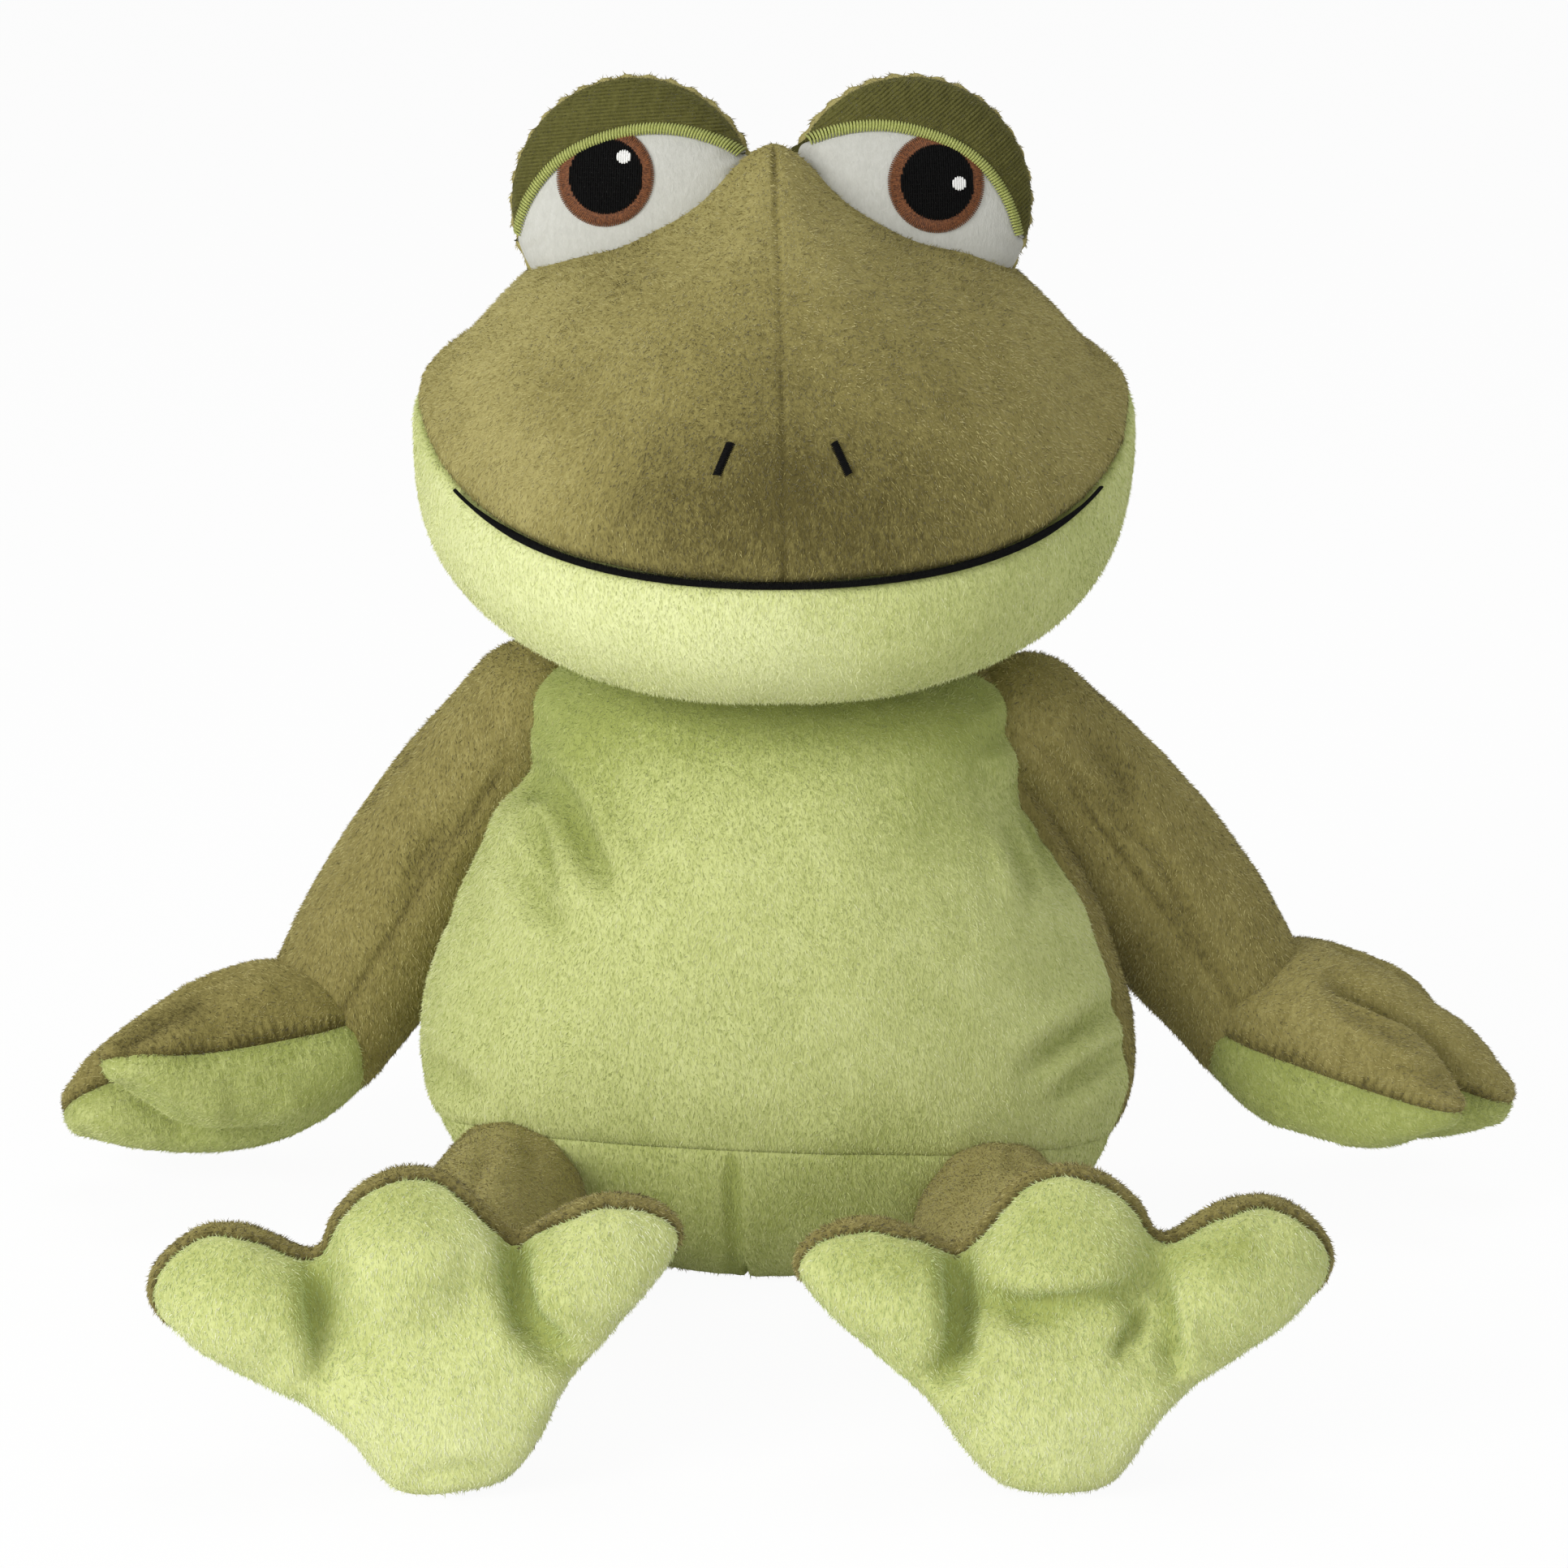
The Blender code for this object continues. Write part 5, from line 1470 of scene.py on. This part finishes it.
# From the wrist round the three fingers: along the hand and across it
hand_outline_shares = [
    (-0.140, -0.100), (-0.115, -0.215), (-0.020, -0.290), (0.160, -0.360), (0.420, -0.450),
    (0.620, -0.505), (0.760, -0.490), (0.800, -0.410), (0.750, -0.320), (0.650, -0.235),
    (0.585, -0.175), (0.660, -0.155), (0.820, -0.165), (0.950, -0.115), (1.000, 0.000),
]
hand_outline_shares += [(along, -across) for along, across in hand_outline_shares[-2::-1]]


def sized(shares, first_size, second_size):
    """Spots in metres, from shares of a panel's two sizes."""
    return [(a * first_size, b * second_size) for a, b in shares]


def closed_outline(spots, spacing):
    """A smooth closed line through spots, with a point every so often."""
    line = smooth_curve(spots, 6, True)
    length = np.linalg.norm(np.roll(line, -1, 0) - line, axis=1).sum()
    return spaced(np.vstack([line, line[:1]]), round(length / spacing) + 1)[:-1]


def is_inside(spots, outline):
    """Which spots lie inside a closed outline."""
    crossings = np.zeros(len(spots), dtype=int)
    for p, q in zip(outline, np.roll(outline, -1, axis=0)):
        if p[1] == q[1]:
            continue
        between = (p[1] > spots[:, 1]) != (q[1] > spots[:, 1])
        crossing = p[0] + (spots[:, 1] - p[1]) * (q[0] - p[0]) / (q[1] - p[1])
        crossings += between & (spots[:, 0] < crossing)
    return crossings % 2 == 1


def inwards_of(rim):
    """The direction into the outline at each of its points."""
    along = np.roll(rim, -2, axis=0) - np.roll(rim, 2, axis=0)
    inwards = np.stack([-along[:, 1], along[:, 0]], 1)
    for _ in range(3):
        inwards = np.roll(inwards, 1, axis=0) + inwards + np.roll(inwards, -1, axis=0)
    return inwards / np.linalg.norm(inwards, axis=1, keepdims=True)


def cut_panel(rim, spacing, plumpness, inner=None, creases=()):
    """Points and triangles that fill a rim, also along an inner seam, and how far stuffing lifts each."""
    loops = [rim] if inner is None else [rim, inner]
    rings = []
    for share in (0.5, 1.1, 1.8):
        ring = rim + inwards_of(rim) * spacing * share
        from_rim = np.linalg.norm(ring[:, None] - rim[None], axis=2).min(axis=1)
        apart = np.ones(len(ring), dtype=bool)
        if inner is not None:
            apart = np.linalg.norm(ring[:, None] - inner[None], axis=2).min(axis=1) > spacing * 0.4
        rings.append(ring[(from_rim > spacing * share * 0.85) & apart])
    low, high = rim.min(axis=0), rim.max(axis=0)
    row_height = spacing * sqrt(3) / 2
    spots = []
    for row in range(int((high[1] - low[1]) / row_height) + 1):
        for column in range(int((high[0] - low[0]) / spacing) + 1):
            spots.append(low + np.array(((column + (row % 2) / 2) * spacing, row * row_height)))
    spots = np.array(spots)
    lines = np.concatenate(loops + rings)
    nearest = np.linalg.norm(spots[:, None] - lines[None], axis=2).min(axis=1)
    spots = spots[is_inside(spots, rim) & (nearest > spacing * 0.62)]
    points = np.concatenate([lines, spots])
    edges, start = [], 0
    for loop in loops:
        edges += [(start + k, start + (k + 1) % len(loop)) for k in range(len(loop))]
        start += len(loop)
    keep_inside = 1
    found = geometry.delaunay_2d_cdt([Vector(p) for p in points], edges, [], keep_inside, 0.000001)
    points = np.array([tuple(p) for p in found[0]])
    triangles = np.array(found[2])
    on_rim = np.zeros(len(points), dtype=bool)
    for k, sources in enumerate(found[3]):
        on_rim[k] = bool(sources) and min(sources) < len(rim)
    sides = np.concatenate([triangles[:, [0, 1]], triangles[:, [1, 2]], triangles[:, [2, 0]]])
    pairs = np.unique(np.sort(sides), axis=0)
    pairs = np.concatenate([pairs, pairs[:, ::-1]])
    count = np.bincount(pairs[:, 0], minlength=len(points))
    lift = np.zeros(len(points))
    relaxing_rounds = 3000
    for _ in range(relaxing_rounds):
        lift = 1 + np.bincount(pairs[:, 0], lift[pairs[:, 1]], len(points)) / count
        lift[on_rim] = 0
    rise = (lift / lift.max()) ** plumpness
    for width, share, line in creases:
        away, along = far_from_line(points, np.array(line))
        rise *= 1 - share * np.exp(-((away / width) ** 2)) * (1 - along**3)
    return points, triangles, rise


def pillow(name, points, triangles, heights, place, flip):
    """A domed panel of a pillow, laid out by a function of a spot and its height."""
    used = np.unique(triangles)
    number = {old: new for new, old in enumerate(used)}
    faces = [tuple(number[k] for k in (face[::-1] if flip else face)) for face in triangles]
    return new_piece(name, [place(*points[k], heights[k]) for k in used], faces)


def hand_place(side):
    """The function that places a spot of the hand's outline, lifted out of the palm."""
    wrist = np.array(reached(side, wrist_reaches))
    sweep = Matrix.Rotation(side * -finger_sweep[side], 3, "Z")
    along = sweep @ Vector((side * cos(finger_fall[side]), 0, -sin(finger_fall[side])))

    def place(a, b, lift):
        share = a / hand_length
        tilt = wrist_tilt[side] + (finger_tilt[side] - wrist_tilt[side]) * min(max(share, 0), 1)
        out = Matrix.Rotation(-tilt, 3, "X") @ Vector((0, 0, -1))
        out = (out - along * out.dot(along)).normalized()
        across = out.cross(along)
        droop = hand_droop * max(share, 0) ** 2
        return wrist + np.array(along * a + across * b + out * (lift + droop))

    return place


hand_folds = {
    -1: [
        (0.0030, 0.0030, [(140, 1288), (153, 1282), (211, 1248), (262, 1230)]),
        (0.0016, 0.0012, [(74, 1373), (117, 1352), (159, 1340)]),
        (0.0040, 0.0010, [(150, 1336), (170, 1350), (193, 1361), (230, 1386), (262, 1402)]),
    ],
    1: [
        (0.0030, 0.0018, [(1640, 1222), (1700, 1262), (1760, 1296)]),
        (0.0026, 0.0014, [(1700, 1300), (1750, 1325), (1790, 1345)]),
        (0.0016, 0.0010, [(1796, 1342), (1825, 1345), (1851, 1344)]),
    ],
}
# Where the stuffing is drawn in between the fingers: width, share drawn in, and the crease's spots
hand_creases = []
for end in (-1, 1):
    crease_line = [(0.600, end * 0.175), (0.440, end * 0.185), (0.200, end * 0.150)]
    hand_creases.append((0.0046, 0.55, sized(crease_line, hand_length, hand_width)))
# Painted shade and light on each panel, by the hand's side: the palms, which face down, are painted darker,
# the left one most, and the back of the left hand is painted lighter
hand_shades = {"palm": {-1: 0.48, 1: 0.80}, "hand_back": {-1: 0.0, 1: -0.30}}
outline = closed_outline(sized(hand_outline_shares, hand_length, hand_width), hand_spacing)
hand_points, hand_triangles, hand_rise = cut_panel(outline, hand_spacing, hand_plumpness, None, hand_creases)
# The fingers are flatter towards their tips, and the front one of the right hand bends up
finger_tips = [(0.790, -0.450), (1.000, 0.000), (0.790, 0.450)]
tip_reach, tip_flatness = 0.010, 0.45
finger_bend = {-1: 0.0040, 1: 0.0}
bend_reach = 0.017


def near_tip(tip, reach):
    """How near each point of the hand's panels lies to a fingertip, from 0 to 1."""
    away = np.hypot(hand_points[:, 0] - tip[0] * hand_length, hand_points[:, 1] - tip[1] * hand_width)
    return np.exp(-((away / reach) ** 2))


for tip in finger_tips:
    hand_rise = hand_rise * (1 - tip_flatness * near_tip(tip, tip_reach))
for side, name in side_names.items():
    place = hand_place(side)
    for part, bulge, facing, material, slot in (
        ("palm", palm_bulge, 1, green_plush, "green_plush"),
        ("hand_back", hand_back_bulge, -1, olive_plush, "olive_plush"),
    ):
        front_tip = finger_tips[side + 1]
        heights = facing * bulge * hand_rise - finger_bend[side] * near_tip(front_tip, bend_reach)
        panel = pillow(f"{name}_{part}_panel", hand_points, hand_triangles, heights, place, facing < 0)
        stuff(panel)
        subdivide(panel)
        # The seams and folds get painted shade, and each panel the painted shade or light that hand_shades
        # gives it
        shade = sink_seams(panel, width=0.0024, depth=0.0010)
        shade = np.maximum(shade, press_folds(panel, hand_folds[side]) / 0.004)
        shade = shade + hand_shades[part][side]
        lump(panel, size=0.012, height=0.0008)
        keep_shade(panel, shade)
        pile = grow_pile(panel, green_pile if part == "palm" else olive_pile, slot, lie=(side, 0, -0.3))
        line_panel(panel)
        dress(panel, material, slot, f"{name}_{part}")
        for piece in (panel, pile):
            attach(piece, f"{name}_hand")


# The legs: short olive stuffed tubes that lie on the floor, sewn into the front of the seat.
hip_out = 0.0575
hip_forward = 0.0470
hip_radius = 0.0180
leg_radius = 0.0207
ankle_radius = 0.0190
leg_thickest_share = 0.5
leg_floor_gap = 0.0010
heel_reaches = {-1: (0.0078, 0.1492), 1: (0.0115, 0.1336)}
foot_width = 0.1195
foot_length = 0.0755
sole_bulge = 0.0165
foot_top_bulge = 0.0170
foot_lean = radians(12)
foot_roll = {-1: radians(9), 1: radians(1)}
ankle_share = 0.40
ankle_behind_sole = 0.0215
leg_columns, leg_rows = 44, 46
leg_folds = {
    -1: [
        (0.0022, 0.0018, [(608, 1398), (599, 1417), (584, 1456), (582, 1471)]),
        (0.0026, 0.0020, [(640, 1392), (655, 1420), (660, 1455)]),
    ],
    1: [
        (0.0022, 0.0018, [(1239, 1411), (1246, 1423), (1260, 1440)]),
        (0.0024, 0.0020, [(1205, 1412), (1196, 1436), (1180, 1462)]),
        (0.0022, 0.0016, [(1165, 1430), (1150, 1452), (1128, 1475)]),
    ],
}


def hip_place(side):
    return torso_frame @ Vector((side * hip_out, -hip_forward, hip_radius + leg_floor_gap))


def foot_axes(side):
    """Across towards the outer toe, up the sole, and out of the sole."""
    roll = Matrix.Rotation(side * foot_roll[side], 3, "Y")
    across = roll @ Vector((side, 0, 0))
    up = Matrix.Rotation(-foot_lean, 3, "X") @ (roll @ Vector((0, 0, 1)))
    out = Vector((0, -cos(foot_lean), sin(foot_lean)))
    return across, up, out


def heel_place(side):
    out, forward = heel_reaches[side]
    hip = hip_place(side)
    return Vector((hip.x + side * out, hip.y - forward, 0))


for side, name in side_names.items():
    across, up, out = foot_axes(side)
    ankle = heel_place(side) + up * foot_length * ankle_share - out * ankle_behind_sole
    t = np.linspace(0, 1, leg_rows)
    centres = np.array(hip_place(side)) * (1 - t[:, None]) + np.array(ankle) * t[:, None]
    ends = np.where(t < leg_thickest_share, hip_radius, ankle_radius)
    radii = leg_radius + (ends - leg_radius) * (t / leg_thickest_share - 1) ** 2
    leg = limb(f"{name}_leg_sleeve", centres, radii * sleeve_share, leg_columns)
    stuff(leg, [0])
    subdivide(leg)
    # The folds get painted shade, and the whole leg is painted much lighter, as painted light where the belly
    # shades it
    shade = press_folds(leg, leg_folds[side]) / 0.006 - 0.7
    lump(leg, size=0.014, height=0.0014)
    above_floor(leg, gap=0.0004)
    keep_shade(leg, shade)
    dress(leg, olive_plush, "olive_plush", f"{name}_leg")
    leg.data.shade_smooth()
    inside, outside = centres[2], centres[int(leg_rows * bend_share)]
    for piece in (leg, grow_pile(leg, olive_pile, "olive_plush", lie=(0, -1, -0.3))):
        tuple(inside)
        tuple(outside)
        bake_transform(piece)


# The feet: broad three-toed pillows that stand on their heels and lean back. The pale sole faces forward,
# and its seam lies a little in from the toe tops, so that the olive upper shows round them as a rim.
foot_spacing = 0.0026
foot_plumpness = 0.40
rim_at_toes = 0.0018
rim_starts_share = 0.60  # the height at which the olive rim starts to show
rim_grows_share = 0.22
# Where the stuffing is drawn in between the toes: width, share drawn in, and the crease's spots
foot_creases = [
    (0.0050, 0.48, [(0.185, 0.800), (0.160, 0.690), (0.145, 0.580), (0.155, 0.460), (0.190, 0.340)]),
    (0.0050, 0.48, [(-0.195, 0.780), (-0.185, 0.640), (-0.180, 0.520), (-0.205, 0.420), (-0.270, 0.330)]),
    (0.0055, 0.16, [(-0.150, 0.560), (-0.060, 0.500), (0.050, 0.500), (0.130, 0.550)]),
]
# Painted light and shade on each sole by the foot's side: the right sole a little lighter, towards the key
# lamp, and the left sole darker
sole_shades = {-1: -0.05, 1: 0.12}
# The soles are painted darker beside the toes' creases and near the toe tops, as painted shade, and lighter
# along the bottom
sole_strokes = {
    -1: [
        (0.006, 0.60, [(655, 1545), (650, 1590), (672, 1640)]),
        (0.006, 0.50, [(395, 1560), (385, 1620)]),
        (0.008, 0.55, [(223, 1550), (300, 1570), (370, 1590)]),
        (0.009, 0.50, [(430, 1480), (510, 1490)]),
        (0.012, -0.40, [(470, 1780), (600, 1790)]),
    ],
    1: [
        (0.006, 0.50, [(1180, 1570), (1175, 1640)]),
        (0.004, 0.70, [(1187, 1589), (1284, 1619)]),
        (0.006, 0.60, [(1442, 1550), (1524, 1540)]),
        (0.007, 0.50, [(1045, 1545), (1150, 1560)]),
        (0.009, 0.45, [(1284, 1510), (1337, 1540)]),
        (0.012, -0.40, [(1230, 1780), (1370, 1790)]),
    ],
}
# The toes are stuffed as round as balls: centre, radius and how much fuller
toe_balls = [((0.000, 0.740), 0.0135, 0.30), ((0.345, 0.670), 0.0150, 0.42), ((-0.350, 0.610), 0.0150, 0.42)]
foot_creases = [(width, share, sized(line, foot_width, foot_length)) for width, share, line in foot_creases]
# From the heel round the three toes: across towards the outer toe, and up
foot_outline_shares = [
    (0.000, 0.000), (0.085, 0.015), (0.135, 0.100), (0.185, 0.225), (0.280, 0.360),
    (0.395, 0.490), (0.465, 0.600), (0.497, 0.700), (0.465, 0.810), (0.370, 0.885),
    (0.265, 0.845), (0.180, 0.765), (0.140, 0.855), (0.075, 0.935), (-0.005, 0.965),
    (-0.080, 0.935), (-0.135, 0.845), (-0.195, 0.730), (-0.270, 0.770), (-0.365, 0.800),
    (-0.455, 0.755), (-0.495, 0.665), (-0.470, 0.575), (-0.385, 0.450), (-0.290, 0.325),
    (-0.225, 0.225), (-0.175, 0.115), (-0.105, 0.015),
]
foot_folds = {
    -1: [
        (0.0030, 0.0040, [(389, 1572), (392, 1605), (396, 1655), (392, 1712)]),
        (0.0030, 0.0042, [(626, 1500), (633, 1541), (635, 1582), (647, 1626), (681, 1657), (720, 1692)]),
        (0.0018, 0.0010, [(503, 1819), (560, 1812), (620, 1807)]),
        (0.0040, 0.0014, [(455, 1578), (525, 1590), (600, 1578), (630, 1560)]),
        (0.0040, 0.0012, [(405, 1595), (433, 1651), (469, 1700), (492, 1724)]),
    ],
    1: [
        (0.003, 0.0042, [(1175, 1535), (1180, 1559), (1187, 1612), (1183, 1656), (1168, 1686), (1135, 1712)]),
        (0.003, 0.0038, [(1190, 1584), (1225, 1604), (1262, 1615), (1337, 1608), (1389, 1593), (1419, 1570)]),
        (0.0024, 0.0038, [(1427, 1567), (1434, 1612), (1442, 1664), (1452, 1704)]),
        (0.0024, 0.0036, [(1414, 1600), (1397, 1641), (1374, 1679)]),
    ],
}
outline = closed_outline(sized(foot_outline_shares, foot_width, foot_length), foot_spacing)
height_share = np.clip((outline[:, 1] / foot_length - rim_starts_share) / rim_grows_share, 0, 1)
sole_seam = outline + inwards_of(outline) * (rim_at_toes * height_share**2 * (3 - 2 * height_share))[:, None]
cut = cut_panel(outline, foot_spacing, foot_plumpness, sole_seam, foot_creases)
foot_points, foot_triangles, foot_rise = cut
for (across, up), radius, fuller in toe_balls:
    away = np.linalg.norm(foot_points - (across * foot_width, up * foot_length), axis=1)
    foot_rise = foot_rise * (1 + fuller * np.exp(-((away / radius) ** 4)))
on_sole = is_inside(foot_points[foot_triangles].mean(axis=1), sole_seam)
for side, name in side_names.items():
    across, up, out = (np.array(v) for v in foot_axes(side))
    heel = np.array(heel_place(side)) - np.array((0, 0, 0.0005))

    def place(a, b, lift):
        return heel + across * a + up * b + out * lift

    ahead, behind = sole_bulge * foot_rise, -foot_top_bulge * foot_rise
    sole = pillow(f"{name}_sole_panel", foot_points, foot_triangles[on_sole], ahead, place, side < 0)
    rim_band = pillow("rim_band", foot_points, foot_triangles[~on_sole], ahead, place, side < 0)
    upper = pillow(f"{name}_foot_upper", foot_points, foot_triangles, behind, place, side > 0)
    weld(upper, rim_band)
    bpy.data.objects.remove(rim_band)
    for panel, part, material, slot in (
        (sole, "sole", green_plush, "green_plush"),
        (upper, "foot_top", olive_plush, "olive_plush"),
    ):
        stuff(panel)
        subdivide(panel)
        # The seams and folds get painted shade, and the soles also their painted strokes and the painted tone
        # of their side
        shade = sink_seams(panel, width=0.0026, depth=0.0011)
        shade = np.maximum(shade, press_folds(panel, foot_folds[side]) / 0.006)
        if part == "sole":
            shade = shade + paint_light_and_shade(panel, sole_strokes[side]) + sole_shades[side]
        lump(panel, size=0.014, height=0.0009)
        above_floor(panel, gap=0.0002)
        keep_shade(panel, shade)
        pile = grow_pile(panel, sole_pile if part == "sole" else olive_pile, slot)
        line_panel(panel)
        dress(panel, material, slot, f"{name}_{part}")
        for piece in (panel, pile):
            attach(piece, f"{name}_foot")
